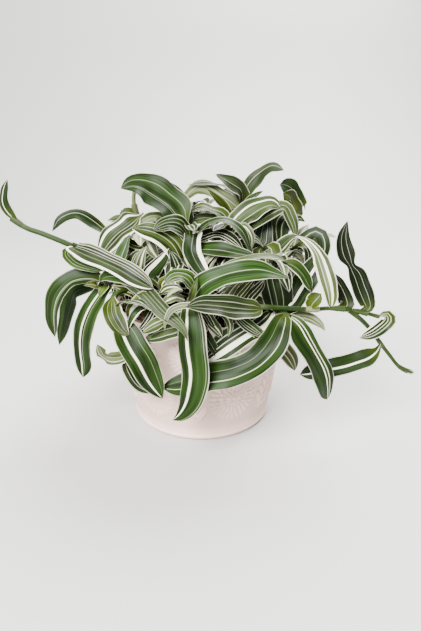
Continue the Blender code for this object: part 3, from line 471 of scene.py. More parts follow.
        leaf(5, (100, 156, -4), (113, 159, -6), look=look("pale", (0, 0.2, 0.5), edges=(0.08, 0.08)),
             shown=(6, (102, 159, -4), (108, 161, -5), (114, 159, -6))),
        leaf(8, (76, 146, -8), (84, 149, -10), (93, 147, -12),
             look=look("deep", (0, 0.2, 0.8), edges=(0.08, 0.08)))),
    "shoot_right_front": shoot(
        (30, -28), [(52, 118, 36), (62, 131, 38)],
        leaf(21, (62, 128, 47), (63, 112, 54), (62, 97, 56), tip="blunt",
             look=look("deep", (0.45, 0.035, 0.34), (0.08, 0.03, 0.3), (-0.35, 0.035, 0.3),
                       edges=(0.04, 0.04), lines=0.05),
             shown=(27, (61, 137, 46), (63, 123, 50), (67, 106, 54), (70, 87, 56))),
        leaf(8, (68, 131, 40), (76, 126, 44), (82, 113, 46),
             look=look("sage", (0, 0.3, 0.6), edges=(0.08, 0.08))),
        leaf(12, (40, 118, 42), (24, 116, 46), (12, 108, 48), (2, 104, 50),
             look=look("deep", (0.2, 0.08, 0.8), (-0.4, 0.06, 0.44), edges=(0.08, 0.08)))),
    "shoot_front_left": shoot(
        (-16, -32), [(-36, 110, 50), (-44, 104, 58)],
        leaf(15, (-52, 103, 62), (-60, 95, 66), (-65, 82, 68),
             look=look("olive", (0.2, 0.5, 0.7), edges=(0.08, 0.08), lines=0.15)),
        leaf(7, (-50, 98, 68), (-58, 93, 72), (-64, 84, 76), (-66, 76, 78),
             look=look("mid", edges=(0.3, 0.08))),
        leaf(9, (-42, 93, 70), (-50, 80, 76), (-61, 71, 78),
             look=look("deep", (0.4, 0.12, 0.8), (-0.2, 0.12, 0.8), edges=(0.08, 0.08))),
        leaf(10, (-34, 118, 52), (-26, 124, 54), (-20, 112, 60),
             look=look("olive", (0, 0.2, 0.8), edges=(0.08, 0.08)))),
    "shoot_upper_left": shoot(
        (-26, 12), [(-42, 150, -4), (-50, 169, -6)],
        leaf(18, (-58, 174, 2), (-70, 168, 6), (-82, 156, 8), (-92, 142, 8), base=0.25, tip="blunt",
             free=True,
             look=look("slate", (0.62, 0.2, 1.0), (-0.1, 0.04, 0.42), (-0.4, 0.04, 0.34),
                       edges=(0.18, 0.05), lines=0.15),
             shown=(20, (-47, 179, -2), (-54, 174, 2), (-61, 169, 6), (-70, 163, 8), (-79, 154, 8),
                    (-86, 144, 8))),
        leaf(11, (-47, 160, 12), (-43, 150, 18), (-36, 139, 22),
             look=look("sage", (0, 0.4, 0.7), edges=(0.08, 0.08))),
        leaf(9, (-56, 152, 4), (-64, 155, 8), (-77, 145, 12),
             look=look("moss", (0, 0.08, 0.7), edges=(0.07, 0.07))),
        leaf(7, (-56, 178, -10), (-62, 180, -8), (-68, 176, -6), look=look("slate", (0.2, 0.07, 0.5))),
        leaf(6, (-62, 175, -13), (-78, 173, -12), look=look("sage", (0, 0.2, 0.6))),
        leaf(9, (-44, 175, 2), (-33, 172, 6),
             look=look("sage", (0.3, 0.05, 0.3), (-0.3, 0.05, 0.3), lines=0.3),
             shown=(11, (-33, 174, -2), (-40, 176, 0), (-46, 174, 2), (-53, 172, 4))),
        leaf(8, (-40, 138, 14), (-50, 127, 24), look=look("deep", (0.2, 0.12, 0.7))),
        # pale: painted light, lifting this side stem and its sheaths out of the shade of the leaves above
        branch=[(-53, 178, -8), (-55, 188, -10), (-54, 198, -8)], pale=0.5),
    "shoot_arch_left": shoot(
        (-36, 30), [(-56, 145, -20), (-80, 162, -14)],
        leaf(11, (-90, 171, -12), (-103, 178, -10), (-116, 174, -8), (-125, 164, -6),
             look=look("deep", (0.3, 0.06, 0.38)))),
    "shoot_right_low": shoot(
        (56, -16), [(74, 112, 2), (82, 100, -4)],
        leaf(11, (84, 84, -8), (82, 66, -6), (85, 52, -4), (87, 36, -4), tip="blunt",
             look=look("sage", (0.3, 0.1, 0.5), (-0.3, 0.1, 0.5), edges=(0.07, 0.07), lines=0.2),
             shown=(15, (71, 62, -8), (76, 55, -6), (82, 47, -4), (86, 39, -4), (87, 34, -4)))),
}

# Shoots at the back and sides: root x, y, then the stem's top x, y, z, then how many leaves
SIDE_SHOOTS = {
    "shoot_back_middle": ((-4, 30), (-6, 44, 166), 7),
    "shoot_back_low": ((6, 54), (8, 84, 124), 6),
    "shoot_back_left": ((-24, 46), (-44, 76, 126), 6),
    "shoot_back_right_low": ((32, 46), (52, 70, 128), 6),
    "shoot_side_left": ((-54, 12), (-84, 26, 122), 6),
    "shoot_side_right": ((60, 12), (88, 22, 120), 6),
    "shoot_crown": ((2, 14), (6, 24, 182), 7),
}
BEND_OUT = 0.35
BEND_UP = 0.62

# Short leaves that fill the inside of the clump: shoot name and how many
INNER_LEAVES = {
    "shoot_front": 4, "shoot_front_left": 5, "shoot_right_front": 6, "shoot_left_front": 2, "shoot_left": 2,
    "runner_right": 2, "runner_left": 2, "shoot_top_left": 5, "shoot_centre": 6, "shoot_upper_left": 4,
    "shoot_right": 4, "shoot_arch_left": 3, "shoot_top": 4, "shoot_back_right": 4,
}

# Leaves that only the looks have, drawn one by one: between the solid ones, over the rim and at the ends
# of the shoots
EXTRA_LEAVES = {
    "shoot_top_left": [
        leaf(14, (-14, 179, -2), (-19, 191, -6), (-28, 200, -8), (-39, 207, -8),
             look=look("deep", edges=(0.03, 0.03), lines=0.05)),
    ],
    "shoot_centre": [
        leaf(16, (52, 154, 6), (53, 161, 4), (54, 169, 2), (56, 179, 0),
             look=look("deep", (0.3, 0.04, 0.3), (-0.3, 0.04, 0.3), edges=(0.04, 0.04))),
        leaf(13, (55, 103, 38), (44, 112, 40), (34, 117, 41), (24, 114, 42),
             look=look("moss", (0.2, 0.24, 0.7), edges=(0.07, 0.07))),
        leaf(13, (21, 137, 8), (14, 142, 9), (5, 144, 10), look=look("deep", (0.2, 0.1, 0.6))),
        leaf(14, (68, 184, 4), (74, 176, 5), (78, 167, 6), (80, 157, 7),
             look=look("grey", (0.3, 0.05, 0.42), (-0.3, 0.05, 0.42), edges=(0.1, 0.08))),
        leaf(12, (23, 170, 2), (10, 174, 4), (-1, 174, 4), (-11, 170, 4),
             look=look("grey", (0.2, 0.05, 0.34))),
        leaf(7, (74, 126, 40), (80, 123, 42), (85, 117, 44), (85, 111, 46),
             look=look("olive", (0, 0.1, 0.5), edges=(0.1, 0.1))),
        leaf(12, (31, 102, 30), (39, 111, 32), (48, 118, 34), (56, 124, 34),
             look=look("deep", (0.2, 0.2, 0.8), (-0.4, 0.06, 0.51))),
    ],
    "shoot_front_left": [
        leaf(13, (-53, 106, 40), (-61, 112, 42), (-70, 115, 44), (-79, 117, 46),
             look=look("olive", (0.3, 0.2, 0.7), (-0.4, 0.1, 0.6), edges=(0.08, 0.08))),
        leaf(14, (-45, 125, 30), (-38, 134, 32), (-32, 141, 34), (-27, 150, 34),
             look=look("deep", (-0.45, 0.5, 0.9), lines=0.05)),
        leaf(12, (-54, 130, 26), (-53, 138, 28), (-50, 146, 28), (-46, 152, 28),
             look=look("sage", (0.3, 0.3, 0.8), (-0.4, 0.1, 0.6), edges=(0.08, 0.08))),
        leaf(13, (-20, 118, 34), (-20, 131, 36), (-23, 141, 36), (-27, 148, 34),
             look=look("deep", (0.3, 0.06, 0.59), (-0.2, 0.06, 0.59), lines=0.05)),
        leaf(12, (-62, 131, 22), (-60, 138, 24), (-56, 145, 24), (-50, 148, 24),
             look=look("mid", (0, 0.08, 0.7), edges=(0.08, 0.08))),
        leaf(9, (-22, 113, 70), (-27, 110, 72), (-31, 106, 74),
             look=look("pale", (0, 0.1, 0.4), edges=(0.08, 0.08))),
        leaf(14, (-33, 104, 20), (-26, 113, 22), (-15, 118, 24), (-5, 118, 24),
             look=look("deep", (0.3, 0.1, 0.7), (-0.3, 0.2, 0.8), lines=0.05)),
    ],
    "shoot_lower_right": [
        leaf(11, (66, 136, 58), (73, 137, 60), (81, 134, 62), (89, 126, 64), (97, 111, 64), base=0.3,
             free=True, look=look("mid", (0.1, 0.03, 0.3), edges=(0.08, 0.14), lines=0.05)),
    ],
    "runner_right": [
        leaf(14, (96, 95.3, 62), (97.5, 100, 62), (101, 105, 62), (105.5, 109.5, 61), base=0.8, free=True,
             sheath=0.9, look=look("moss", (0.15, 0.06, 0.3), edges=(0.1, 0.05))),
        leaf(10, (32, 106, 70), (37, 113, 72), (42, 119, 72), (48, 125, 70),
             look=look("moss", (0.4, 0.12, 0.6), (-0.2, 0.08, 0.6), edges=(0.07, 0.07))),
        leaf(9, (23, 106, 70), (26, 112, 72), (30, 117, 72), (36, 122, 71),
             look=look("sage", (0, 0.2, 0.6), edges=(0.08, 0.08))),
        leaf(10, (43, 106, 68), (48, 112, 68), (52, 117, 67), (55, 123, 66),
             look=look("deep", (0.3, 0.1, 0.7), (-0.3, 0.1, 0.6), edges=(0.08, 0.08))),
        leaf(7, (-8, 98, 92), (-18, 98, 92), (-27, 94, 92), (-32, 85, 91), (-34, 74, 89),
             look=look("sage", (0.2, 0.1, 0.4), edges=(0.12, 0.12))),
        leaf(12, (34, 86, 76), (42, 79, 80), (52, 71, 82), (62, 62, 81),
             look=look("fresh", (0.5, 0.06, 0.51), (0.1, 0.06, 0.51), (-0.4, 0.06, 0.51),
                       edges=(0.08, 0.1))),
    ],
    "shoot_front": [
        leaf(12, (-25, 87, 80), (-35, 83, 83), (-45, 78, 84), (-54, 72, 83), free=True,
             look=look("grey", (0.3, 0.1, 0.6), (-0.2, 0.05, 0.4), edges=(0.08, 0.08), lines=0.2)),
        leaf(9, (-37, 97, 60), (-30, 103, 62), (-22, 106, 63), (-14, 103, 64), base=0.3, free=True,
             look=look("sage", (0, 0.3, 0.7), edges=(0.08, 0.08))),
        leaf(10, (-38, 107, 56), (-32, 112, 58), (-24, 114, 60), (-16, 112, 60), base=0.3, free=True,
             look=look("grey", (0.3, 0.1, 0.5), (-0.4, 0.2, 0.7), edges=(0.08, 0.08))),
        leaf(10, (-22, 79, 82), (-34, 71, 83), (-46, 65, 82), (-54, 60, 80),
             look=look("grey", (0.3, 0.05, 0.38), lines=0.2)),
        leaf(9, (6, 66, 79), (14, 52, 80), (21, 44, 80), (27, 39, 80),
             look=look("deep", (0.1, 0.05, 0.38))),
        leaf(9, (4, 90, 74), (9, 83, 78), (15, 76, 80), (19, 68, 80),
             look=look("grey", (0.2, 0.2, 0.8), edges=(0.08, 0.08))),
        leaf(8, (18, 92, 72), (24, 85, 76), (26, 77, 78), (24, 68, 79),
             look=look("sage", (0, 0.2, 0.8), edges=(0.08, 0.08))),
        leaf(9, (-20, 92, 72), (-28, 88, 76), (-38, 82, 78), (-48, 74, 78),
             look=look("moss", (0.2, 0.08, 0.7), edges=(0.1, 0.1))),
    ],
    "shoot_upper_left": [
        leaf(6, (-54, 179, -8), (-58, 181, -7), (-62, 181, -6), (-65, 177, -6), look=look("slate")),
        leaf(6, (-58, 176, -2), (-65, 176, -2), (-72, 175, -2), (-77, 174, -2), look=look("grey")),
    ],
    "shoot_right": [
        leaf(12, (66, 147, 10), (71, 154, 12), (77, 159, 14), (83, 160, 14),
             look=look("grey", (0.4, 0.12, 0.7), edges=(0.1, 0.1))),
    ],
    "shoot_left": [
        leaf(8, (-89, 116, 34), (-93, 117, 40), (-98, 118, 42), (-103, 117, 42),
             look=look("olive", (0, 0.1, 0.3))),
        leaf(9, (-86, 117, 34), (-85, 116, 40), (-88, 111, 43), (-91, 106, 44), base=0.8,
             look=look("lime", edges=(0.1, 0.05))),
        leaf(11, (-71, 134, 30), (-69, 143, 28), (-65, 152, 24), (-60, 162, 20),
             look=look("leafy", (0.2, 0.05, 0.4), edges=(0.08, 0.05))),
        leaf(9, (-76, 133, 28), (-75, 141, 26), (-68, 146, 26), (-61, 148, 26),
             look=look("leafy", (0.3, 0.1, 0.5), edges=(0.1, 0.08))),
        leaf(13, (-88, 116, 28), (-87, 121, 37), (-84, 125, 41), (-77, 126, 43), (-68, 124, 47),
             (-61, 120, 50), (-53, 115, 54), free=True,
             look=look("leafy", (0.2, 0.04, 0.3), edges=(0.07, 0.07))),
    ],
    "shoot_back_right": [
        leaf(8, (73, 167, -22), (78, 173, -22), (82, 175, -22), (86, 172, -22),
             look=look("mid", (0, 0.1, 0.4), edges=(0.08, 0.08))),
    ],
}

# Randomly grown solid leaves, by number in their shoot, that hang where the photograph has none
LEFT_OUT = {"runner_right": (8,), "shoot_front": (9,)}

# Small leaves that only the looks have, between the others
FILL_LEAVES = {
    "shoot_front": 12, "shoot_front_left": 15, "shoot_right_front": 15, "shoot_left_front": 6,
    "shoot_left": 7, "shoot_top_left": 14, "shoot_centre": 16, "shoot_upper_left": 12, "shoot_right": 12,
    "shoot_arch_left": 7, "shoot_top": 12, "shoot_back_right": 10, "shoot_lower_right": 7,
    "shoot_right_low": 5, "shoot_back_middle": 9, "shoot_back_low": 5, "shoot_back_left": 5,
    "shoot_back_right_low": 5, "shoot_side_left": 4, "shoot_side_right": 4, "shoot_crown": 12,
}

# Sizes of the leaves that no photograph shows singly, how clear of others they stay, and how far in
# front of the pot's axis they may reach
LONG_LEAF = {"length": (62.0, 98.0), "width": (13.0, 19.0), "clear": CLEARANCES[1], "front": math.inf}
SHORT_LEAF = {"length": (34.0, 62.0), "width": (9.0, 15.0), "clear": CLEARANCES[1], "front": math.inf}
FILL_LEAF = {"length": (26.0, 56.0), "width": (8.0, 14.0), "clear": 0.4, "front": 55.0}

# How they grow: random seeds, the turn from the stem's lean, the angles at the base and tip, the steps
# and evenness of the droop, the way they face and roll, how often each is tried and how much it shrinks
# each time, and the outline seen from EYE that they stay in
SEED = 11
LOOK_SEED = 5
TURN = 140.0
RISE = (10.0, 75.0)
FALL = (-85.0, -20.0)
DROOP_STEPS = 5
DROOP_POWER = 0.8
FACE_OUT = 0.5
FACE_UP = 0.87
ROLL_AT_BASE = 15
ROLL_AT_TIP = 30
TRIES = 90
SHRINK = 0.004
OUTLINE_CENTRE = (4.0, 108.0)
OUTLINE_REACH = (92.0, 84.0)
BELOW_RIM_REACH = 78.0

# Looks that the randomly grown leaves choose from: those of large leaves, then those of small ones
LARGE_LOOKS = [
    look("mid", (0.4, 0.18, 1), edges=(0.05, 0.06)),
    look("deep", (-0.3, 0.06, 0.51), (0.2, 0.03, 0.32)),
    look("slate", (0.5, 0.04, 0.44), (0.05, 0.04, 0.44), (-0.4, 0.04, 0.44), edges=(0.07, 0.07)),
    look("mid", (-0.35, 0.16, 0.95), (0.3, 0.03, 0.32), edges=(0.05, 0.05)),
    look("deep", (0.1, 0.1, 0.9), (-0.55, 0.05, 0.38), edges=(0.06, 0.08)),
    look("moss", (-0.2, 0.06, 0.44), edges=(0.06, 0.12), lines=0.15),
    look("mid", (0, 0.04, 0.38)),
]
SMALL_LOOKS = [
    look("deep", (0.45, 0.16, 0.85), (-0.4, 0.1, 0.8), edges=(0.07, 0.07)),
    look("olive", (0.1, 0.3, 0.8), edges=(0.1, 0.1)),
    look("sage", (0, 0.3, 0.7), edges=(0.08, 0.08)),
    look("slate", (0.3, 0.14, 0.85), (-0.4, 0.1, 0.8), edges=(0.08, 0.08)),
    look("deep", (0, 0.24, 0.9), edges=(0.08, 0.08)),
    look("mid", (0.4, 0.1, 0.8), (-0.3, 0.08, 0.7), edges=(0.07, 0.07)),
    look("moss", (-0.2, 0.2, 0.8), (0.6, 0.06, 0.44), edges=(0.07, 0.07)),
    look("deep", (0.3, 0.05, 0.44), (-0.2, 0.05, 0.44)),
    look("pale", (0, 0.3, 0.6)),
]


def seen(x, z, near):
    """The point near millimetres in front of the upright plane that shows at x, z from EYE."""
    on_plane = Vector((x, 0.0, z))
    return EYE + (on_plane - EYE) * (1.0 - near / -EYE.y)


def shows_inside(place):
    """True where the place shows inside the clump's outline from EYE."""
    shown = EYE + (place - EYE) * (-EYE.y / (place.y - EYE.y))
    x = (shown.x - OUTLINE_CENTRE[0]) / OUTLINE_REACH[0]
    z = (shown.z - OUTLINE_CENTRE[1]) / OUTLINE_REACH[1]
    if z < 0:
        return abs(shown.x) < BELOW_RIM_REACH
    return x * x + z * z < 1.0


def eased(t):
    """From 0 to 1 as t goes, but slowly at both ends."""
    return t * t * (3 - 2 * t)


def smooth_path(points, spacing, parts=CURVE_PARTS):
    """Evenly spaced points, about spacing apart, on a curve through the given ones."""
    ends = [points[0] * 2 - points[1]] + list(points) + [points[-1] * 2 - points[-2]]
    dense = [points[0].copy()]
    for before, start, end, after in zip(ends, ends[1:], ends[2:], ends[3:]):
        first = math.sqrt((start - before).length)
        middle = math.sqrt((end - start).length)
        last = math.sqrt((after - end).length)
        leave = (start - before) / first - (end - before) / (first + middle) + (end - start) / middle
        arrive = (end - start) / middle - (after - start) / (middle + last) + (after - end) / last
        for step in range(1, parts + 1):
            t = step / parts
            bend = leave * (t * (1 - t) ** 2) - arrive * (t * t * (1 - t))
            dense.append(start.lerp(end, eased(t)) + bend * middle)
    lengths = [0.0]
    for first, second in zip(dense, dense[1:]):
        lengths.append(lengths[-1] + (second - first).length)
    count = max(3, round(lengths[-1] / spacing))
    path = []
    index = 0
    for number in range(count + 1):
        target = lengths[-1] * number / count
        while index < len(dense) - 2 and lengths[index + 1] < target:
            index += 1
        share = (target - lengths[index]) / max(lengths[index + 1] - lengths[index], 1e-6)
        path.append(dense[index].lerp(dense[index + 1], share))
    return path


def directions(path):
    """The path's direction at each of its points."""
    count = len(path) - 1
    return [(path[min(i + 1, count)] - path[max(i - 1, 0)]).normalized() for i in range(count + 1)]


def width_share(t):
    """How wide the solid's blade is at t, from its sheath at 0 to its point at 1."""
    share = SHEATH_SHARE + (1 - SHEATH_SHARE) * eased(min(t / WIDEST_FROM, 1.0))
    if t > WIDEST_TO:
        share *= 1 - ((t - WIDEST_TO) / (1 - WIDEST_TO)) ** TAPER_POWER
    return max(share, TIP_SHARE)


def shown_share(blade, t):
    """How wide the finer blade is at t: broad from its base on, and full almost to its point."""
    share = blade["base"] + (1 - blade["base"]) * eased(min(t / FULL_FROM, 1.0))
    if t > FULL_TO:
        share *= 1 - ((t - FULL_TO) / (1 - FULL_TO)) ** TIPS[blade["tip"]]
    if blade["waist"]:
        share *= 1 - WAIST_DEPTH * math.exp(-((t - blade["waist"]) / WAIST_LENGTH) ** 2)
    return max(share, POINTED)


def upper_sides(blade, path):
    """Where the blade's upper side looks at each point: carried along from mid blade, drawn towards
    its face and then rolled."""
    along_path = directions(path)
    face = Vector(blade["face"])
    middle = len(along_path) // 2
    uppers = [None] * len(along_path)
    uppers[middle] = (face - face.dot(along_path[middle]) * along_path[middle]).normalized()
    for step, order in ((-1, range(middle + 1, len(along_path))), (1, range(middle - 1, -1, -1))):
        for index in order:
            along = along_path[index]
            before = uppers[index + step]
            carried = (before - before.dot(along) * along).normalized()
            uppers[index] = (carried * CARRY + face - face.dot(along) * along).normalized()
    start, end = blade["roll"]
    rolled = []
    for index, (along, upper) in enumerate(zip(along_path, uppers)):
        t = index / (len(path) - 1)
        turn = math.radians(start + (end - start) * eased(t))
        rolled.append(Matrix.Rotation(turn, 3, along) @ upper)
    return rolled


def lift_and_wave(blade, t, half):
    """How far the margins rise above the keel at t, and how far they swing against each other."""
    lift = 2 * half * blade["channel"] * (1.0 - FLATTER_AHEAD * t)
    return lift, 2 * half * WAVE * math.sin(WAVE_COUNT * math.tau * t + blade["width"])


def blade_rows(blade):
    """Rows across the blade: left edge, keel, right edge and the direction of the upper side."""
    path = smooth_path(blade["points"], BLADE_STEP)
    rows = []
    for index, (place, along, upper) in enumerate(zip(path, directions(path), upper_sides(blade, path))):
        t = index / (len(path) - 1)
        side = along.cross(upper).normalized()
        half = 0.5 * (blade["width"] * width_share(t) if index else ROOT_WIDTH)
        lift, wave = lift_and_wave(blade, t, half)
        rows.append((place - side * half + upper * (lift + wave), place.copy(),
                     place + side * half + upper * (lift - wave), upper))
    return rows


def ring_faces(rings, sides):
    """The corners of each face between rings of points, all with the same number of sides."""
    for ring in range(rings - 1):
        for side in range(sides):
            a = ring * sides + side
            b = ring * sides + (side + 1) % sides
            yield a, b, b + sides, a + sides


def hull_of_rows(rows, margin):
    """Closed vertices and faces round a blade's rows, with room all round it."""
    reach = BLADE_THICKNESS / 2 + margin
    vertices = []
    for left, keel, right, upper in rows:
        out = (right - left).normalized() * margin
        vertices += [left - out + upper * reach, keel + upper * reach, right + out + upper * reach,
                     right + out - upper * reach, keel - upper * reach, left - out - upper * reach]
    faces = []
    for a, b, c, d in ring_faces(len(rows), HULL_SIDES):
        faces += [(a, b, c), (a, c, d)]
    return vertices, faces


def hull_of_tube(path, radius):
    """Vertices and faces of a plain tube, for the room that a stem takes."""
    vertices = []
    for place, along in zip(path, directions(path)):
        across = along.orthogonal().normalized()
        for corner in range(HULL_SIDES):
            turn = Matrix.Rotation(corner * math.tau / HULL_SIDES, 3, along)
            vertices.append(place + turn @ across * radius)
    return vertices, list(ring_faces(len(path), HULL_SIDES))


def extent(vertices):
    """The lowest and highest of each coordinate."""
    return ([min(v[axis] for v in vertices) for axis in range(3)],
            [max(v[axis] for v in vertices) for axis in range(3)])


def past_base(rows):
    """The blade's rows past its base, where it may touch other blades of its own shoot."""
    return rows[max(1, round(len(rows) * NEAR_BASE)):]


class Room:
    """What already stands in the clump, so that each new blade bends clear of it."""

    def __init__(self):
        self.taken = []

    def add(self, shoot, whole, outer):
        """Keep a hull, and the part of it that blades of the same shoot keep clear of."""
        tree = BVHTree.FromPolygons(*whole)
        outer_tree = BVHTree.FromPolygons(*outer) if outer else None
        self.taken.append((shoot, tree, outer_tree, *extent(whole[0])))

    def is_free(self, shoot, rows, margin):
        """True where the blade stays clear of the pot, the soil, the stems and the other blades."""
        if any(in_pot(place, margin) for row in between(rows) for place in row[:3]):
            return False
        vertices, faces = hull_of_rows(rows, margin)
        low, high = extent(vertices)
        whole = BVHTree.FromPolygons(vertices, faces)
        outer = BVHTree.FromPolygons(*hull_of_rows(past_base(rows), margin))
        for other, tree, outer_tree, other_low, other_high in self.taken:
            if any(low[a] > other_high[a] or high[a] < other_low[a] for a in range(3)):
                continue
            if other != shoot and whole.overlap(tree):
                return False
            if other == shoot and outer_tree and outer.overlap(outer_tree):
                return False
        return True

    def keep(self, shoot, rows):
        """Keep a blade's hull."""
        self.add(shoot, hull_of_rows(rows, 0.0), hull_of_rows(past_base(rows), 0.0))


def between(rows):
    """The rows and two more between each pair of them."""
    for first, second in zip(rows, rows[1:]):
        for share in (0.0, 1 / 3, 2 / 3):
            yield [a.lerp(b, share) for a, b in zip(first, second)]
    yield rows[-1]


def wall_radius(z):
    """The pot's outer radius at a height."""
    return FOOT_RADIUS + (RIM_RADIUS - FOOT_RADIUS) * z / POT_HEIGHT


def in_pot(place, margin):
    """True where the place is in the pot's wall or the soil, or within margin of them."""
    out = math.hypot(place.x, place.y)
    wall = wall_radius(place.z)
    if place.z < POT_HEIGHT + margin and wall - WALL - margin < out < wall + margin:
        return True
    return place.z < SOIL_EDGE_HEIGHT + SOIL_CROWN + margin and out <= wall - WALL


def stem_path(shoot):
    """The stem's points, from the bottom of its hole upright through the soil and on to its tip."""
    level = Vector((*shoot["root"], SOIL_EDGE_HEIGHT))
    upper = [seen(*point) for point in shoot["stem"]]
    if shoot["top"]:
        top = Vector(shoot["top"])
        way = top - level
        upper = [level + Vector((way.x * BEND_OUT, way.y * BEND_OUT, way.z * BEND_UP)), top]
    bottom = level - Vector((0, 0, HOLE_DEPTH - TOUCH_GAP))
    mouth = level + Vector((0, 0, SOIL_CROWN + UPRIGHT))
    return [bottom] + smooth_path([mouth] + upper, STEM_STEP)


def branch_path(shoot, main):
    """A side stem's points, from the nearest point of the main stem."""
    points = [seen(*point) for point in shoot["branch"]]
    start = min(main, key=lambda place: (place - points[0]).length)
    return smooth_path([start] + points, STEM_STEP)


def leaf_start(stems, first, number):
    """Where a blade leaves its stem: a little below the stem's nearest point to its first point.
    Blades that share a stem start at slightly different heights."""
    stem = min(stems, key=lambda path: min((place - first).length for place in path))
    fine = smooth_path(stem[1:], FINE_STEP)
    nearest = min(range(len(fine)), key=lambda index: (fine[index] - first).length)
    back = SHEATH_BACK + ROOT_STAGGER * (number % STAGGERED)
    return fine[max(nearest - round(back / FINE_STEP), 1)]


def nudged(points, middle, tip):
    """The points moved along the line of sight: middle at mid blade, tip at its point."""
    moved = []
    for index, (x, z, near) in enumerate(points, start=1):
        t = index / len(points)
        moved.append((x, z, near + middle * math.sin(math.pi * t) + tip * t * t))
    return moved


def drooping(start, outward, rise, fall, length):
    """A blade's points that leave at the angle rise and hang over to the angle fall."""
    points = [start]
    for step in range(DROOP_STEPS):
        angle = math.radians(rise + (fall - rise) * ((step + 0.5) / DROOP_STEPS) ** DROOP_POWER)
        way = outward * math.cos(angle) + Vector((0, 0, math.sin(angle)))
        points.append(points[-1] + way * length / DROOP_STEPS)
    return points


def drawn_blade(stems, entry, number, width, way):
    """The finer blade, which follows the way as it is given."""
    points = [seen(*point) for point in way]
    scale = 1.0 - way[0][2] / -EYE.y
    if not entry["free"]:
        points.insert(0, leaf_start(stems, points[0], number))
    return dict(entry, points=points, width=width * scale, channel=CHANNEL,
                roll=entry["turn"] or entry["roll"])


def place_leaf(room, name, stems, entry, number):
    """A blade with given points, bent clear along the line of sight, and its rows."""
    pairs = sorted(((m, t) for m in NUDGES for t in NUDGES), key=lambda p: abs(p[0]) + abs(p[1]))
    scale = 1.0 - entry["points"][0][2] / -EYE.y
    for margin in CLEARANCES:
        for middle, tip in pairs:
            points = [seen(*point) for point in nudged(entry["points"], middle, tip)]
            points = [leaf_start(stems, points[0], number)] + points
            blade = dict(entry, points=points, width=entry["width"] * scale, channel=CHANNEL)
            rows = blade_rows(blade)
            if room.is_free(name, rows, margin):
                if entry["shown"]:
                    width, *way = entry["shown"]
                    blade = drawn_blade(stems, entry, number, width, nudged(way, middle, tip))
                return blade, rows
    return None, None


def grow_leaf(room, name, stems, draw, lean, size):
    """A drooping blade with drawn angles, tried until one is clear, and its rows."""
    for attempt in range(TRIES):
        stem = draw.choice(stems)
        start = stem[draw.randrange(min(2, len(stem) - 1), len(stem))]
        azimuth = lean + math.radians(draw.uniform(-TURN, TURN))
        outward = Vector((math.cos(azimuth), math.sin(azimuth), 0.0))
        rise = draw.uniform(*RISE)
        fall = draw.uniform(*FALL)
        length = draw.uniform(*size["length"]) * (1.0 - SHRINK * attempt)
        width = draw.uniform(*size["width"]) * (1.0 - SHRINK * attempt)
        face = outward * FACE_OUT + Vector((0, 0, FACE_UP))
        roll = (draw.uniform(-ROLL_AT_BASE, ROLL_AT_BASE), draw.uniform(-ROLL_AT_TIP, ROLL_AT_TIP))
        blade = leaf(width, look=None, face=face[:], roll=roll)
        blade.update(points=drooping(start, outward, rise, fall, length), channel=0.0)
        rows = blade_rows(blade)
        inside = all(-row[1].y < size["front"] and shows_inside(row[1]) for row in rows)
        if inside and room.is_free(name, rows, size["clear"]):
            return blade, rows
    return None, None


def grow_leaves(room, plan, draw, choose, wanted):
    """Randomly grown leaves for each shoot: its name, how many, their sizes and the looks to choose from."""
    for name, count, size, looks in wanted:
        stems = plan[name]["stems"]
        lean = math.atan2(stems[0][-1].y, stems[0][-1].x)
        for number in range(count):
            blade, rows = grow_leaf(room, name, stems, draw, lean, size)
            if blade:
                room.keep(name, rows)
                blade["look"] = choose.choice(looks)
                plan[name]["blades"].append(blade)


def plan_plant():
    """Every shoot's stems and blades, each blade clear of what it doesn't grow from."""
    room = Room()
    plan = {}
    shoots = dict(SHOOTS)
    for name, (root, top, count) in SIDE_SHOOTS.items():
        shoots[name] = shoot(root, (), top=top)
    for name, given in shoots.items():
        stems = [stem_path(given)]
        if given["branch"]:
            stems.append(branch_path(given, stems[0]))
        radius = RUNNER_RADIUS if name.startswith("runner") else STEM_RADIUS
        for path in stems:
            room.add(name, hull_of_tube(path, radius), None)
        plan[name] = {"stems": stems, "radius": radius, "blades": [], "pale": given["pale"],
                      "fullness": given["fullness"]}
    for name, given in shoots.items():
        for number, entry in enumerate(given["leaves"]):
            blade, rows = place_leaf(room, name, plan[name]["stems"], entry, number)
            if blade:
                room.keep(name, rows)
                plan[name]["blades"].append(blade)
    draw = random.Random(SEED)
    choose = random.Random(LOOK_SEED)
    solid = [(name, count, LONG_LEAF, LARGE_LOOKS) for name, (root, top, count) in SIDE_SHOOTS.items()]
    solid += [(name, count, SHORT_LEAF, LARGE_LOOKS + SMALL_LOOKS) for name, count in INNER_LEAVES.items()]
    grow_leaves(room, plan, draw, choose, solid)
    for name, entries in EXTRA_LEAVES.items():
        for number, entry in enumerate(entries):
            blade = drawn_blade(plan[name]["stems"], entry, number, entry["width"], entry["points"])
            room.keep(name, blade_rows(blade))
            plan[name]["blades"].append(blade)
    fill = [(name, count, FILL_LEAF, SMALL_LOOKS) for name, count in FILL_LEAVES.items()]
    grow_leaves(room, plan, draw, choose, fill)
    for name, numbers in LEFT_OUT.items():
        plan[name]["blades"] = [blade for number, blade in enumerate(plan[name]["blades"], start=1)
                                if number not in numbers]
    return plan


def linear(code):
    """A colour written as #rrggbb, turned to linear light."""
    channels = [int(code[i:i + 2], 16) / 255 for i in (1, 3, 5)]
    return [c / 12.92 if c <= 0.04045 else ((c + 0.055) / 1.055) ** 2.4 for c in channels] + [1.0]


def add(tree, kind, inputs=None, **settings):
    """Add a node with its settings. Each input is a plain value, or the socket that feeds it."""
    node = tree.nodes.new(kind)
    for name, value in settings.items():
        setattr(node, name, value)
    for key, value in (inputs or {}).items():
        if isinstance(value, bpy.types.NodeSocket):
            tree.links.new(value, node.inputs[key])
        else:
            node.inputs[key].default_value = value
    return node


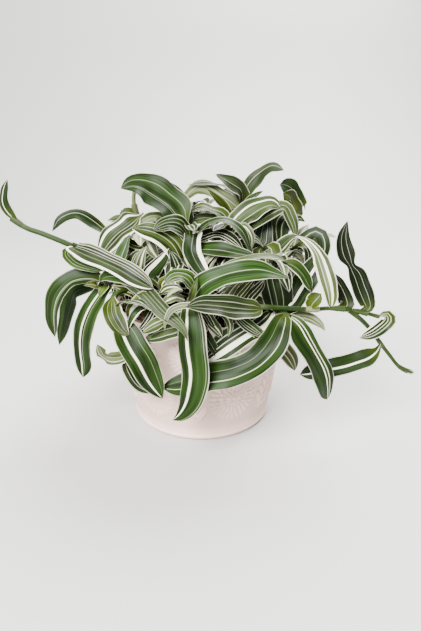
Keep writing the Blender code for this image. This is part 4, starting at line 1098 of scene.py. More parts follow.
def new_tree(name, inputs, output, values):
    """An empty Geometry Nodes tree with named inputs, the sockets that they come from, and the sockets
    of the values that its guide or its profile carries."""
    tree = bpy.data.node_groups.new(name, "GeometryNodeTree")
    for label, kind in inputs.items():
        tree.interface.new_socket(label, in_out="INPUT", socket_type=kind)
    tree.interface.new_socket(output, in_out="OUTPUT", socket_type="NodeSocketGeometry")
    value = {}
    for label, kind in values.items():
        node = add(tree, "GeometryNodeInputNamedAttribute", {"Name": label}, data_type=kind)
        value[label] = node.outputs["Attribute"]
    return tree, add(tree, "NodeGroupInput").outputs, value


def end_tree(tree, shape, finish):
    """The tree's last nodes: instances made real, and the material set."""
    real = add(tree, "GeometryNodeRealizeInstances", {"Geometry": shape})
    painted = add(tree, "GeometryNodeSetMaterial", {"Geometry": real.outputs[0], "Material": finish})
    add(tree, "NodeGroupOutput", {0: painted.outputs[0]})


def sweep(tree, curve, sides, thinness, reach, marks):
    """A ring swept along the curve, as wide as reach says and thinness of that thick. The surface keeps
    the ring's own x, and y where it is named too, under the names in marks."""
    ring = add(tree, "GeometryNodeCurvePrimitiveCircle", {"Resolution": sides, "Radius": 1.0},
               mode="RADIUS").outputs[0]
    place = add(tree, "ShaderNodeSeparateXYZ", {0: add(tree, "GeometryNodeInputPosition").outputs[0]})
    for axis, label in enumerate(marks):
        ring = add(tree, "GeometryNodeStoreNamedAttribute",
                   {"Geometry": ring, "Name": label, "Value": place.outputs[axis]},
                   data_type="FLOAT", domain="POINT").outputs[0]
    thin = add(tree, "ShaderNodeCombineXYZ", {"X": 1.0, "Y": thinness, "Z": 1.0})
    oval = add(tree, "GeometryNodeTransform", {"Geometry": ring, "Scale": thin.outputs[0]})
    swept = add(tree, "GeometryNodeCurveToMesh",
                {"Curve": curve, "Profile Curve": oval.outputs[0], "Scale": reach, "Fill Caps": True})
    smooth = add(tree, "GeometryNodeSetShadeSmooth", {"Geometry": swept.outputs[0], "Shade Smooth": True})
    return smooth.outputs[0]


def blade_tree():
    """Sweeps a thin oval along each spine, lifts its margins into a channel and ripples them."""
    carried = dict.fromkeys(("half", "across", "run", "seed", "lift", "wave"), "FLOAT")
    carried.update(side="FLOAT_VECTOR", upper="FLOAT_VECTOR")
    tree, given, value = new_tree("leaf blades", {
        "Spines": "NodeSocketGeometry", "Sides": "NodeSocketInt", "Thinness": "NodeSocketFloat",
        "Ripple": "NodeSocketFloat", "Keel": "NodeSocketFloat", "Finish": "NodeSocketMaterial"},
        "Blades", carried)
    spines = add(tree, "GeometryNodeMeshToCurve", {"Mesh": given["Spines"]})
    aimed = add(tree, "GeometryNodeSetCurveNormal", {"Curve": spines.outputs[0], "Normal": value["side"]},
                mode="FREE")
    blades = sweep(tree, aimed.outputs[0], given["Sides"], given["Thinness"], value["half"],
                   ("across", "under"))
    out = add(tree, "ShaderNodeMath", {0: value["across"]}, operation="ABSOLUTE")
    cup = add(tree, "ShaderNodeMath", {0: out.outputs[0], 1: given["Keel"]}, operation="POWER")
    along = add(tree, "ShaderNodeMath", {0: value["run"], 1: RIPPLE_PACE}, operation="MULTIPLY")
    where = add(tree, "ShaderNodeCombineXYZ",
                {"X": along.outputs[0], "Y": value["across"], "Z": value["seed"]})
    rough = add(tree, "ShaderNodeTexNoise", {"Vector": where.outputs[0], "Scale": 1.0, "Detail": 1.0})
    swing = add(tree, "ShaderNodeMath", {0: rough.outputs[0], 1: 0.5}, operation="SUBTRACT")
    reach = add(tree, "ShaderNodeMath", {0: value["half"], 1: given["Ripple"]}, operation="MULTIPLY")
    lift = add(tree, "ShaderNodeMath", {0: swing.outputs[0], 1: reach.outputs[0], 2: value["lift"]},
               operation="MULTIPLY_ADD")
    raised = add(tree, "ShaderNodeMath", {0: lift.outputs[0], 1: cup.outputs[0]}, operation="MULTIPLY")
    tilt = add(tree, "ShaderNodeMath", {0: value["wave"], 1: value["across"]}, operation="MULTIPLY")
    height = add(tree, "ShaderNodeMath", {0: raised.outputs[0], 1: tilt.outputs[0]}, operation="SUBTRACT")
    offset = add(tree, "ShaderNodeVectorMath", {0: value["upper"], "Scale": height.outputs[0]},
                 operation="SCALE")
    shaped = add(tree, "GeometryNodeSetPosition", {"Geometry": blades, "Offset": offset.outputs[0]})
    end_tree(tree, shaped.outputs[0], given["Finish"])
    return tree


def stem_tree():
    """Sweeps a circle along each stem, as thick as its points say."""
    tree, given, value = new_tree("stems", {
        "Lines": "NodeSocketGeometry", "Sides": "NodeSocketInt", "Finish": "NodeSocketMaterial"},
        "Stems", {"half": "FLOAT"})
    lines = add(tree, "GeometryNodeMeshToCurve", {"Mesh": given["Lines"]})
    stems = sweep(tree, lines.outputs[0], given["Sides"], 1.0, value["half"], ("across",))
    end_tree(tree, stems, given["Finish"])
    return tree


def crumb_tree():
    """Strews small lumps, each of its own size and turn, over the upper side of the soil."""
    tree, given, _ = new_tree("soil crumbs", {
        "Ground": "NodeSocketGeometry", "Density": "NodeSocketFloat", "Smallest": "NodeSocketFloat",
        "Largest": "NodeSocketFloat", "Seed": "NodeSocketInt", "Finish": "NodeSocketMaterial"},
        "Crumbs", {})
    strewn = add(tree, "GeometryNodeDistributePointsOnFaces",
                 {"Mesh": given["Ground"], "Density": given["Density"], "Seed": given["Seed"]})
    lump = add(tree, "GeometryNodeMeshIcoSphere", {"Radius": 1.0, "Subdivisions": 2})
    where = add(tree, "GeometryNodeInputPosition")
    rough = add(tree, "ShaderNodeTexNoise", {"Vector": where.outputs[0], "Scale": CRUMB_DENTS},
                noise_dimensions="3D")
    swing = add(tree, "ShaderNodeVectorMath", {0: rough.outputs[1], 1: (0.5, 0.5, 0.5)},
                operation="SUBTRACT")
    dented = add(tree, "GeometryNodeSetPosition", {"Geometry": lump.outputs[0], "Offset": swing.outputs[0]})
    sizes = add(tree, "FunctionNodeRandomValue",
                {"Min": given["Smallest"], "Max": given["Largest"], "Seed": given["Seed"]},
                data_type="FLOAT")
    turns = add(tree, "FunctionNodeRandomValue", {"Min": (0.0, 0.0, 0.0), "Max": (CRUMB_TURN,) * 3},
                data_type="FLOAT_VECTOR")
    lumps = add(tree, "GeometryNodeInstanceOnPoints",
                {"Points": strewn.outputs[0], "Instance": dented.outputs[0], "Scale": sizes.outputs[1],
                 "Rotation": turns.outputs[0]})
    end_tree(tree, lumps.outputs[0], given["Finish"])
    return tree


def grown(name, guide, tree, settings):
    """The plain mesh object that a tree makes from a guide mesh, with the guide gone."""
    carrier = bpy.data.objects.new(name, guide)
    bpy.context.scene.collection.objects.link(carrier)
    growth = carrier.modifiers.new("growth", "NODES")
    growth.node_group = tree
    for item in tree.interface.items_tree:
        if item.in_out == "INPUT" and item.name in settings:
            growth[item.identifier] = settings[item.name]
    evaluated = carrier.evaluated_get(bpy.context.evaluated_depsgraph_get())
    mesh = bpy.data.meshes.new_from_object(evaluated)
    mesh.name = name
    carrier.modifiers.clear()
    carrier.data = mesh
    bpy.data.meshes.remove(guide)
    return carrier


def guide_mesh(lines):
    """Polylines as a mesh. Each line is a list of points, and each point its place in millimetres and
    the values that it carries: numbers and vectors by name, lengths already in metres."""
    mesh = bpy.data.meshes.new("guide")
    places = []
    edges = []
    for line in lines:
        first = len(places)
        places += [point["place"] * MM for point in line]
        edges += [(index, index + 1) for index in range(first, first + len(line) - 1)]
    mesh.from_pydata(places, edges, [])
    points = [point for line in lines for point in line]
    for label in points[0]:
        if label == "place":
            continue
        values = [point[label] for point in points]
        if isinstance(values[0], float):
            mesh.attributes.new(label, "FLOAT", "POINT").data.foreach_set("value", values)
        else:
            flat = [part for value in values for part in value]
            mesh.attributes.new(label, "FLOAT_VECTOR", "POINT").data.foreach_set("vector", flat)
    return mesh


def blade_spine(blade, seed):
    """A blade's spine, closely sampled, with all that the tree and the leaf's material need there."""
    coarse = smooth_path(blade["points"], BLADE_STEP)
    uppers = upper_sides(blade, coarse)
    fine = smooth_path(blade["points"], ROW_STEP, FINE_PARTS)
    marks = blade["look"]
    stripes = list(marks["stripes"]) + [(0.0, 0.0, 0.0)] * (STRIPES - len(marks["stripes"]))
    dark, light = (linear(code)[:3] for code in TONES[marks["tone"]])
    channelled = dict(blade, channel=max(blade["channel"], LEAST_CHANNEL))
    length = sum((b - a).length for a, b in zip(fine, fine[1:]))
    spine = []
    for index, (place, along) in enumerate(zip(fine, directions(fine))):
        t = index / (len(fine) - 1)
        row = min(int(t * (len(coarse) - 1)), len(coarse) - 2)
        upper = uppers[row].lerp(uppers[row + 1], eased(t * (len(coarse) - 1) - row))
        upper = (upper - upper.dot(along) * along).normalized()
        rise = min(t * length / (BASE_RISE * (BASE_REACH - blade["base"])), 1.0)
        spread = math.sin(math.pi / 2 * rise) ** (BASE_POWER - blade["base"])
        width = ROOT_WIDTH + (blade["width"] * shown_share(blade, t) - ROOT_WIDTH) * spread
        lift, wave = lift_and_wave(channelled, t, width / 2)
        lift += width / 2 * FOLD * max(0.0, 1.0 - t * length / FOLD_LENGTH)
        spine.append({
            "place": place, "side": along.cross(upper).normalized(), "upper": upper,
            "half": width / 2 * MM, "lift": lift * MM, "wave": wave * MM, "along": t,
            "run": t * length, "seed": seed * SEED_STEP, "dark": dark, "light": light,
            "margins": (*marks["edges"], marks["lines"]),
            **{f"stripe_{number}": stripe for number, stripe in enumerate(stripes)}})
    return spine


def sheath_line(rounds, nearest, radius, paleness, order, seed):
    """The sheath that a leaf has round its stem, or nothing where it would be too short."""
    low = max(nearest - round(SHEATH_BELOW / FINE_STEP), 0)
    high = min(nearest + round(SHEATH_ABOVE / FINE_STEP), len(rounds) - 1)
    if high - low < SHEATH_LEAST / FINE_STEP:
        return []
    under = radius * (1.0 - (1.0 - TIP_TAPER) * nearest / len(rounds))
    spacing, length = SHEATH_RUN
    first, last = SHEATH_PALING
    sleeve = []
    for step in range(SHEATH_STEPS + 1):
        t = step / SHEATH_STEPS
        place = rounds[round(low + (high - low) * t)]
        thick = under + KNOT / 2 + SHEATH_WALL * (1.0 - (1.0 - t) ** 3) + SHEATH_FLARE * t
        sleeve.append({"place": place, "half": thick * MM, "run": order * spacing + t * length,
                       "pale": paleness * (first + (last - first) * t),
                       "seed": seed * SHEATH_SEED_STEP + order})
    return sleeve


def stem_lines(shoot, seed):
    """A shoot's stems, swollen a little at each leaf, and the sheath that each leaf has round its stem."""
    lines = []
    starts = [blade["points"][0] for blade in shoot["blades"]]
    for number, path in enumerate(shoot["stems"]):
        radius = shoot["radius"] * shoot["fullness"] * (SIDE_STEM_SHARE if number else 1.0)
        straight, curved = ([], path) if number else (path[:1], path[1:])
        fine = straight + smooth_path(curved, TUBE_STEP, FINE_PARTS)
        line = []
        for index, place in enumerate(fine):
            near = min((place - start).length for start in starts)
            knot = KNOT * math.exp(-(near / KNOT_LENGTH) ** 2)
            thick = radius * (1.0 - (1.0 - TIP_TAPER) * index / (len(fine) - 1)) + knot
            # The shoot's paleness is painted light that lifts a shaded stem; each knot's paleness is its own
            # colour
            line.append({"place": place, "half": thick * MM, "run": index * TUBE_STEP,
                         "pale": shoot["pale"] + KNOT_PALENESS * knot / KNOT,
                         "seed": seed * SEED_STEP + number})
        lines.append(line)
        rounds = smooth_path(curved, FINE_STEP, FINE_PARTS)
        for order, (start, blade) in enumerate(zip(starts, shoot["blades"])):
            nearest = min(range(len(rounds)), key=lambda index: (rounds[index] - start).length)
            # A shoot's painted light lifts its sheaths too
            paleness = max(blade["sheath"], shoot["pale"])
            if (rounds[nearest] - start).length <= SHEATH_REACH:
                lines.append(sheath_line(rounds, nearest, radius, paleness, order, seed))
    return [line for line in lines if line]


def new_material(name, **sockets):
    """A material, its tree and its shader, with the shader's plain settings."""
    finish = bpy.data.materials.new(name)
    finish.use_nodes = True
    shader = finish.node_tree.nodes["Principled BSDF"]
    for label, value in sockets.items():
        shader.inputs[label.replace("_", " ")].default_value = value
    return finish, finish.node_tree, shader


def dress(tree, shader, colour, layers, bump=None):
    """Lay colours over the first one, each by its share, and give the shader the result. A bump is its
    strength, its depth in metres and the socket of its height."""
    for share, over in layers:
        colour = add(tree, "ShaderNodeMix", {0: share, MIX_UNDER: colour, MIX_OVER: over},
                     data_type="RGBA").outputs[MIX_COLOUR]
    tree.links.new(colour, shader.inputs["Base Color"])
    if bump:
        strength, depth, height = bump
        skin = add(tree, "ShaderNodeBump", {"Strength": strength, "Distance": depth, "Height": height})
        tree.links.new(skin.outputs[0], shader.inputs["Normal"])


def streaks(tree, value, over, ahead, shift, detail=0.0):
    """Noise stretched along a leaf or stem: over cycles across it, ahead cycles per millimetre along it."""
    x = add(tree, "ShaderNodeMath", {0: value["across"], 1: over}, operation="MULTIPLY")
    y = add(tree, "ShaderNodeMath", {0: value["run"], 1: ahead}, operation="MULTIPLY")
    z = add(tree, "ShaderNodeMath", {0: value["seed"], 1: shift}, operation="ADD")
    place = add(tree, "ShaderNodeCombineXYZ", {0: x.outputs[0], 1: y.outputs[0], 2: z.outputs[0]})
    return add(tree, "ShaderNodeTexNoise",
               {"Vector": place.outputs[0], "Scale": 1.0, "Detail": detail}).outputs[0]


def stripe_mask():
    """Shader group: how much of a stripe shows at a place across the blade."""
    tree = bpy.data.node_groups.new("leaf stripe", "ShaderNodeTree")
    for label, kind in (("Across", "NodeSocketFloat"), ("Stripe", "NodeSocketVector"),
                        ("Softness", "NodeSocketFloat")):
        tree.interface.new_socket(label, in_out="INPUT", socket_type=kind)
    tree.interface.new_socket("Mask", in_out="OUTPUT", socket_type="NodeSocketFloat")
    given = add(tree, "NodeGroupInput").outputs
    parts = add(tree, "ShaderNodeSeparateXYZ", {0: given["Stripe"]}).outputs
    off = add(tree, "ShaderNodeMath", {0: given["Across"], 1: parts["X"]}, operation="SUBTRACT")
    away = add(tree, "ShaderNodeMath", {0: off.outputs[0]}, operation="ABSOLUTE")
    inner = add(tree, "ShaderNodeMath", {0: parts["Y"], 1: 0.5, 2: given["Softness"]},
                operation="MULTIPLY_ADD")
    soft = add(tree, "ShaderNodeMath", {0: given["Softness"], 1: 2.0}, operation="MULTIPLY")
    edge = add(tree, "ShaderNodeMath", {0: inner.outputs[0], 1: soft.outputs[0]}, operation="SUBTRACT")
    mask = add(tree, "ShaderNodeMapRange",
               {"Value": away.outputs[0], "From Min": inner.outputs[0], "From Max": edge.outputs[0],
                "To Max": parts["Z"]}, interpolation_type="SMOOTHSTEP")
    add(tree, "NodeGroupOutput", {0: mask.outputs[0]})
    return tree


def leaf_material():
    """Living leaf: a smooth waxy skin over parallel veins, so satin with soft highlights along it."""
    finish, tree, shader = new_material("waxy living leaf", Roughness=0.42, IOR=1.4, Specular_IOR_Level=0.12)
    value = {}
    for label in ("across", "along", "under", "run", "seed"):
        value[label] = add(tree, "ShaderNodeAttribute", attribute_name=label).outputs["Fac"]
    for label in ("dark", "light", "margins", *(f"stripe_{number}" for number in range(STRIPES))):
        value[label] = add(tree, "ShaderNodeAttribute", attribute_name=label).outputs["Vector"]
    margins = add(tree, "ShaderNodeSeparateXYZ", {0: value["margins"]}).outputs

    # Stripes wander by a twentieth of the blade's half width
    drift = add(tree, "ShaderNodeMath", {0: streaks(tree, value, 0.3, 0.05, 3.0), 1: 0.5},
                operation="SUBTRACT")
    place = add(tree, "ShaderNodeMath", {0: drift.outputs[0], 1: 0.1, 2: value["across"]},
                operation="MULTIPLY_ADD").outputs[0]
    mask_tree = stripe_mask()
    masks = []
    for number in range(STRIPES):
        stripe = add(tree, "ShaderNodeGroup", node_tree=mask_tree)
        tree.links.new(place, stripe.inputs["Across"])
        tree.links.new(value[f"stripe_{number}"], stripe.inputs["Stripe"])
        stripe.inputs["Softness"].default_value = STRIPE_SOFTNESS
        masks.append(stripe.outputs[0])
    for axis, sign in (("X", -1.0), ("Y", 1.0)):
        inner = add(tree, "ShaderNodeMath", {0: 1.0 - STRIPE_SOFTNESS, 1: margins[axis]},
                    operation="SUBTRACT")
        outer = add(tree, "ShaderNodeMath", {0: 1.0 + STRIPE_SOFTNESS, 1: margins[axis]},
                    operation="SUBTRACT")
        turned = add(tree, "ShaderNodeMath", {0: place, 1: sign}, operation="MULTIPLY")
        strength = add(tree, "ShaderNodeMath", {0: margins[axis], 1: 3.0, 2: 0.25},
                       operation="MULTIPLY_ADD", use_clamp=True)
        rim = add(tree, "ShaderNodeMapRange",
                  {"Value": turned.outputs[0], "From Min": inner.outputs[0], "From Max": outer.outputs[0],
                   "To Max": strength.outputs[0]}, interpolation_type="SMOOTHSTEP")
        masks.append(rim.outputs[0])
    pale = masks[0]
    for mask in masks[1:]:
        pale = add(tree, "ShaderNodeMath", {0: pale, 1: mask}, operation="MAXIMUM").outputs[0]

    # What each layer follows, where it starts and is full, its greatest share and its colour: light green
    # bands, a painted silvery sheen that stands in for sky reflection, pinstripes about one a millimetre
    # on a broad leaf, the yellower base, the duller underside and the dry tip
    layers = []
    for source, start, full, most, over in (
            (streaks(tree, value, 2.4, 0.02, 11.0, 1.0), 0.38, 0.62, 1.0, value["light"]),
            # painted sheen: a silvery reflection laid into the leaf's colour
            (streaks(tree, value, 1.6, 0.03, 41.0), 0.5, 0.75, 0.03, linear("#5f7a58")),
            (streaks(tree, value, 9.0, 0.01, 23.0), 0.6, 0.68, margins["Z"], linear("#6f8250")),
            (value["run"], 20.0, 0.0, 0.55, linear("#3c4a0a")),
            (value["under"], -0.1, 0.1, 0.1, linear("#8f9a78")),
            (value["along"], 0.965, 1.0, 0.7, linear("#4a3a22"))):
        share = add(tree, "ShaderNodeMapRange", {"Value": source, "From Min": start, "From Max": full,
                                                 "To Max": most}, interpolation_type="SMOOTHSTEP")
        layers.append((share.outputs[0], over))
    green, ends = layers[:4], layers[4:]
    dress(tree, shader, value["dark"], green + [(pale, linear("#e8e5cc"))] + ends,
          (0.35, 0.0004, streaks(tree, value, 11.0, 0.006, 57.0)))
    return finish


def stem_material():
    """Living stem: green and smooth, papery and cream where a leaf's sheath wraps it, and paler where
    painted light lifts a stem that lies in shade.
    """
    finish, tree, shader = new_material("smooth green stem", Roughness=0.5, IOR=1.4, Specular_IOR_Level=0.2)
    value = {label: add(tree, "ShaderNodeAttribute", attribute_name=label).outputs["Fac"]
             for label in ("across", "run", "seed", "pale")}
    fibres = streaks(tree, value, 5.0, 0.04, 0.0, 1.0)
    lines = add(tree, "ShaderNodeMapRange", {"Value": fibres, "From Min": 0.4, "From Max": 0.65,
                                             "To Max": 0.6}, interpolation_type="SMOOTHSTEP")
    dress(tree, shader, linear("#1a2a08"),
          [(lines.outputs[0], linear("#2e4012")), (value["pale"], linear("#7c8058"))],
          (0.3, 0.0004, fibres))
    return finish


def ceramic_material():
    """Matte glazed stoneware: bone white with a dry, slightly uneven skin, with painted shade that darkens
    its hollows.
    """
    finish, tree, shader = new_material("matte glazed stoneware", Roughness=0.55, IOR=1.5)
    place = add(tree, "ShaderNodeTexCoord").outputs["Object"]
    painted_hollow_shade = add(tree, "ShaderNodeAttribute", attribute_name="painted_hollow_shade").outputs["Fac"]
    cloud = add(tree, "ShaderNodeTexNoise", {"Vector": place, "Scale": 38.0, "Detail": 3.0})
    grain = add(tree, "ShaderNodeTexNoise", {"Vector": place, "Scale": 900.0, "Detail": 2.0})
    patch = add(tree, "ShaderNodeMapRange", {"Value": cloud.outputs[0], "From Min": 0.35, "From Max": 0.65})
    # painted shade in the relief's hollows
    dress(tree, shader, linear("#eccbbe"),
          [(patch.outputs[0], linear("#e6c3b5")), (painted_hollow_shade, linear("#b39a8e"))],
          (0.15, 0.0003, grain.outputs[0]))
    return finish


def soil_material(name, dark, light):
    """Peat: dark brown crumbs, dull and fully rough."""
    finish, tree, shader = new_material(name, Roughness=0.95, IOR=1.35)
    place = add(tree, "ShaderNodeTexCoord").outputs["Object"]
    crumbs = add(tree, "ShaderNodeTexNoise", {"Vector": place, "Scale": 420.0, "Detail": 4.0})
    patch = add(tree, "ShaderNodeMapRange", {"Value": crumbs.outputs[0], "From Min": 0.35, "From Max": 0.7})
    dress(tree, shader, linear(dark), [(patch.outputs[0], linear(light))],
          (0.8, 0.001, crumbs.outputs[0]))
    return finish


def floor_material():
    """Matte painted board: plain pale grey white."""
    finish, tree, shader = new_material("matte painted board", Roughness=0.7)
    place = add(tree, "ShaderNodeTexCoord").outputs["Object"]
    cloud = add(tree, "ShaderNodeTexNoise", {"Vector": place, "Scale": 4.0, "Detail": 2.0})
    dress(tree, shader, linear("#bdbcb9"), [(cloud.outputs[0], linear("#b6b5b2"))])
    return finish


def placed(name, data):
    """A new object in the scene."""
    thing = bpy.data.objects.new(name, data)
    bpy.context.scene.collection.objects.link(thing)
    return thing


def arc(x, y, size, start, end, parts):
    """Points on a circle round x, y, from one angle in degrees to another."""
    angles = [math.radians(start + (end - start) * part / parts) for part in range(parts + 1)]
    return [(x + size * math.cos(angle), y + size * math.sin(angle)) for angle in angles]


def lathe(name, rings, steps, finish):
    """A closed turned mesh. Each ring is a list of radii, one for each step, and a height; its first and
    last rings close on the axis."""
    mesh = bpy.data.meshes.new(name)
    places = []
    for radii, height in rings:
        for step in range(steps):
            angle = math.tau * step / steps
            places.append((radii[step] * math.cos(angle) * MM, radii[step] * math.sin(angle) * MM,
                           height * MM))
    faces = [(a, d, c, b) for a, b, c, d in ring_faces(len(rings), steps)]
    for ring in (0, len(rings) - 1):
        middle = len(places)
        places.append((0.0, 0.0, rings[ring][1] * MM))
        for step in range(steps):
            a = ring * steps + step
            b = ring * steps + (step + 1) % steps
            faces.append((middle, b, a) if ring else (middle, a, b))
    mesh.from_pydata(places, [], faces)
    mesh.materials.append(finish)
    mesh.shade_smooth()
    return placed(name, mesh)


def motifs(angle, height, level, first, count):
    """For each motif round the pot at a level: its number, and how far every point of the grids lies
    from it along the wall and up it."""
    middle = wall_radius(POT_HEIGHT / 2)
    for number in range(count):
        turn = math.radians(first + 360.0 * number / count)
        yield number, (np.mod(angle - turn + math.pi, math.tau) - math.pi) * middle, height - level


def flower(out, way):
    """Whorls of grooved petals round a domed heart, over grids of distances and angles from it."""
    field = np.zeros_like(out)
    groove, groove_width = PETAL_GROOVE
    for start, end, petals in WHORLS:
        cell = np.mod(way * petals / math.tau, 1.0) - 0.5
        petal = ((out - (start + end) / 2) / ((end - start) / 2)) ** 2 + (cell / PETAL_WIDTH) ** 2
        crest = np.clip((1.0 - petal) * FORM_SLOPE, 0.0, 1.0)
        crest -= groove * crest * np.exp(-(cell / groove_width) ** 2)
        field = np.maximum(field, crest * (1.0 - PETAL_FALL * out))
    radius, slope = FLOWER_HEART
    return np.maximum(field, np.clip((radius - out) * slope, 0.0, 1.0))


def spray(x, y):
    """A stalk along x with leaflets on either side in turn, over grids of places."""
    field = np.zeros_like(x)
    groove, groove_width = LEAFLET_GROOVE
    for leaflet in range(SPRAY_LEAVES):
        base = -SPRAY_REACH + 2 * SPRAY_REACH * leaflet / (SPRAY_LEAVES - 1)
        opened = math.radians(SPRAY_ANGLE * (1 if leaflet % 2 else -1))
        size = LEAFLET_LENGTH * (1.0 - LEAFLET_TAPER * leaflet / SPRAY_LEAVES)
        ahead = (x - base) * math.cos(opened) + y * math.sin(opened) - size * LEAFLET_AHEAD
        aside = -(x - base) * math.sin(opened) + y * math.cos(opened)
        form = (ahead / size) ** 2 + (aside / (size * LEAFLET_WIDTH)) ** 2
        crest = np.clip((1.0 - form) * FORM_SLOPE, 0.0, 1.0)
        field = np.maximum(field, crest * (1.0 - groove * np.exp(-(aside / groove_width) ** 2)))
    crown, width, height = STALK
    stalk = np.where(np.abs(x) < SPRAY_REACH, np.clip(crown - np.abs(y) / width, 0.0, 1.0), 0.0)
    return np.maximum(field, stalk * height)


def relief(angle, height):
    """The embossed pattern's height, 0 to 1, over grids of angles and heights on the pot's wall."""
    field = np.zeros_like(angle)
    for row, (level, first, count, size) in enumerate(FLOWER_ROWS):
        for number, s, h in motifs(angle, height, level, first, count):
            way = np.arctan2(h, s) + FLOWER_TURN * number + row
            field = np.maximum(field, flower(np.hypot(s, h) / size, way))
    for level, first, count, tilt in SPRAY_ROWS:
        for number, s, h in motifs(angle, height, level, first, count):
            lean = math.radians(tilt if number % 2 else 180.0 - tilt)
            x = s * math.cos(lean) + h * math.sin(lean)
            field = np.maximum(field, spray(x, -s * math.sin(lean) + h * math.cos(lean)))
    return field


def build_pot(finish):
    """The pot, finely turned, with a rounded rim and heel and the embossed pattern on its wall."""
    rim = wall_radius(POT_HEIGHT)
    shoulder = POT_HEIGHT - LIP
    rings = [(wall_radius(0) - WALL - HEEL, FLOOR_THICKNESS)]
    rings += arc(wall_radius(HEEL) - WALL - HEEL, FLOOR_THICKNESS + HEEL, HEEL, -90, 0, 5)[1:]
    rings += [(wall_radius(z) - WALL, z) for z in (30.0, 60.0, 90.0, shoulder)]
    rings += arc(rim - WALL + LIP, shoulder, LIP, 180, 90, 6)[1:]
    rings += arc(rim - LIP, shoulder, LIP, 90, 0, 6)
    plain = len(rings)
    above, below = RELIEF_GAPS
    heights = np.linspace(shoulder - above, HEEL + below, RELIEF_ROWS)
    rings += [(wall_radius(z), z) for z in heights]
    after = len(rings)
    rings += arc(wall_radius(HEEL) - HEEL, HEEL, HEEL, 0, -90, 6)
    angles = np.linspace(0.0, math.tau, POT_SIDES, endpoint=False)
    low, low_fade = RELIEF_BOTTOM
    high, high_fade = RELIEF_TOP
    fade = np.clip((heights - low) / low_fade, 0.0, 1.0) * np.clip((high - heights) / high_fade, 0.0, 1.0)
    pattern = relief(*np.meshgrid(angles, heights)) * fade[:, None]
    made = []
    for index, (radius, height) in enumerate(rings):
        radii = np.full(POT_SIDES, float(radius))
        if plain <= index < after:
            radii += RELIEF_DEPTH * (pattern[index - plain] - RELIEF_LEVEL)
        made.append((radii.tolist(), float(height)))
    pot = lathe("embossed_pot", made, POT_SIDES, finish)
    # Painted shade over the wall between the raised motifs, darkest where the relief is lowest
    painted_hollow_shade = np.zeros((len(rings), POT_SIDES))
    painted_hollow_shade[plain:after] = (1.0 - pattern) * fade[:, None] * HOLLOW_SHADE
    values = np.concatenate([painted_hollow_shade.ravel(), [0.0, 0.0]])
    pot.data.attributes.new("painted_hollow_shade", "FLOAT", "POINT").data.foreach_set("value", values)
    return pot


def build_soil(finish):
    """The soil, a plug with a crowned, crumbly top."""
    wide = wall_radius(SOIL_EDGE_HEIGHT) - WALL - TOUCH_GAP
    shares = [part / SOIL_RINGS for part in range(1, SOIL_RINGS + 1)]
    rings = [(wide * share, SOIL_EDGE_HEIGHT + SOIL_CROWN * (1.0 - share * share)) for share in shares]
    inset, drop = SOIL_SHOULDER
    rings += [(wide - inset, SOIL_EDGE_HEIGHT - drop),
              (wall_radius(SOIL_MIDDLE) - WALL - TOUCH_GAP, SOIL_MIDDLE),
              (wall_radius(HEEL) - WALL - TOUCH_GAP, FLOOR_THICKNESS + HEEL + TOUCH_GAP),
              (wall_radius(0) - WALL - HEEL - TOUCH_GAP, FLOOR_THICKNESS + TOUCH_GAP)]
    soil = lathe("crumbly_soil", [([radius] * SOIL_SIDES, height) for radius, height in rings],
                 SOIL_SIDES, finish)
    for corner in soil.data.vertices:
        if corner.co.z > (SOIL_EDGE_HEIGHT - 0.5) * MM:
            rough = noise.fractal(corner.co * (1 / MM) * SOIL_PACE, *SOIL_ROUGHNESS)
            corner.co.z += (rough - 0.5) * SOIL_SWING * MM
    return soil


def build_crumbs(soil, finish):
    """Crumbs of peat and bark on the soil's top."""
    ground = soil.data.copy()
    shape = bmesh.new()
    shape.from_mesh(ground)
    low = [face for face in shape.faces if face.calc_center_median().z < (SOIL_EDGE_HEIGHT - 2.0) * MM]
    bmesh.ops.delete(shape, geom=low, context="FACES")
    shape.to_mesh(ground)
    shape.free()
    smallest, largest = CRUMB_SIZES
    return grown("soil_crumbs", ground, crumb_tree(), {
        "Density": CRUMB_DENSITY, "Smallest": smallest * MM, "Largest": largest * MM, "Seed": CRUMB_SEED,
        "Finish": finish})


def add_piece(piece, nodes):
    """Say which body the piece rides on, and hide the solids that it stands for."""
    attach(piece, "root")
    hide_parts(*nodes)


def build_stage():
    """Floor and backdrop in one sheet that curves up behind the object."""
    profile = [(STAGE_FRONT, 0.0)] + arc(STAGE_BACK, STAGE_BEND, STAGE_BEND, -90, 0, 12)
    profile.append((STAGE_BACK + STAGE_BEND, STAGE_TOP))
    places = [(x, y, z) for y, z in profile for x in (-STAGE_HALF, STAGE_HALF)]
    faces = [(i, i + 1, i + 3, i + 2) for i in range(0, len(places) - 2, 2)]
    mesh = bpy.data.meshes.new("floor")
    mesh.from_pydata(places, [], faces)
    mesh.materials.append(floor_material())
    mesh.shade_smooth()
    placed("floor", mesh)


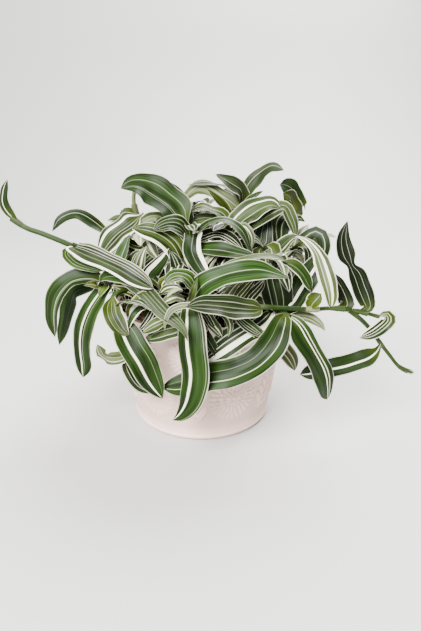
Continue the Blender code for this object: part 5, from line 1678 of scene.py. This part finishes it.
def build_light():
    """Soft daylight from all round, a large soft lamp high in front on the left, and a wider one high
    behind."""
    world = bpy.data.worlds.new("daylight")
    bpy.context.scene.world = world
    world.use_nodes = True
    sky = world.node_tree.nodes["Background"]
    sky.inputs["Color"].default_value = linear("#f2f5fa")
    sky.inputs["Strength"].default_value = DAYLIGHT
    for name, place, size, power in LAMPS:
        lamp = bpy.data.lights.new(name, "AREA")
        lamp.shape = "DISK"
        lamp.size = size
        lamp.energy = power
        thing = placed(name, lamp)
        thing.location = place
        thing.rotation_euler = (Vector(AIM) - Vector(place)).to_track_quat("-Z", "Y").to_euler()


def build_camera():
    """The photograph's viewing angle: 20 degrees down, straight from the front."""
    lens = bpy.data.cameras.new("camera")
    lens.sensor_width = SENSOR
    lens.lens = FOCAL_PIXELS * SENSOR / FRAME_HEIGHT
    camera = placed("camera", lens)
    camera.location = EYE * MM
    camera.rotation_euler = (math.radians(90.0 - CAMERA_PITCH), 0.0, 0.0)
    bpy.context.scene.camera = camera


def build_plant():
    """A piece of leaves and a piece of stems for each shoot."""
    leaf_finish = leaf_material()
    stem_finish = stem_material()
    blades = blade_tree()
    stems = stem_tree()
    for number, (name, shoot) in enumerate(plan_plant().items(), start=1):
        spines = [blade_spine(blade, number * BLADES_EACH + order)
                  for order, blade in enumerate(shoot["blades"])]
        leaves = grown(name + "_leaves", guide_mesh(spines), blades, {
            "Sides": BLADE_SIDES, "Thinness": THINNESS, "Ripple": RIPPLE, "Keel": KEEL,
            "Finish": leaf_finish})
        add_piece(leaves, [name])
        stalk = grown(name + "_stem", guide_mesh(stem_lines(shoot, number)), stems,
                      {"Sides": STEM_SIDES, "Finish": stem_finish})
        add_piece(stalk, [name])


def main():
    build_plant()
    add_piece(build_pot(ceramic_material()), ["pot"])
    soil = build_soil(soil_material("peat potting soil", "#1f150e", "#4b3727"))
    crumbs = build_crumbs(soil, soil_material("peat and bark crumbs", "#2a1d13", "#6b5138"))
    add_piece(soil, ["soil"])
    add_piece(crumbs, ["soil"])
    build_stage()
    build_light()
    build_camera()


main()
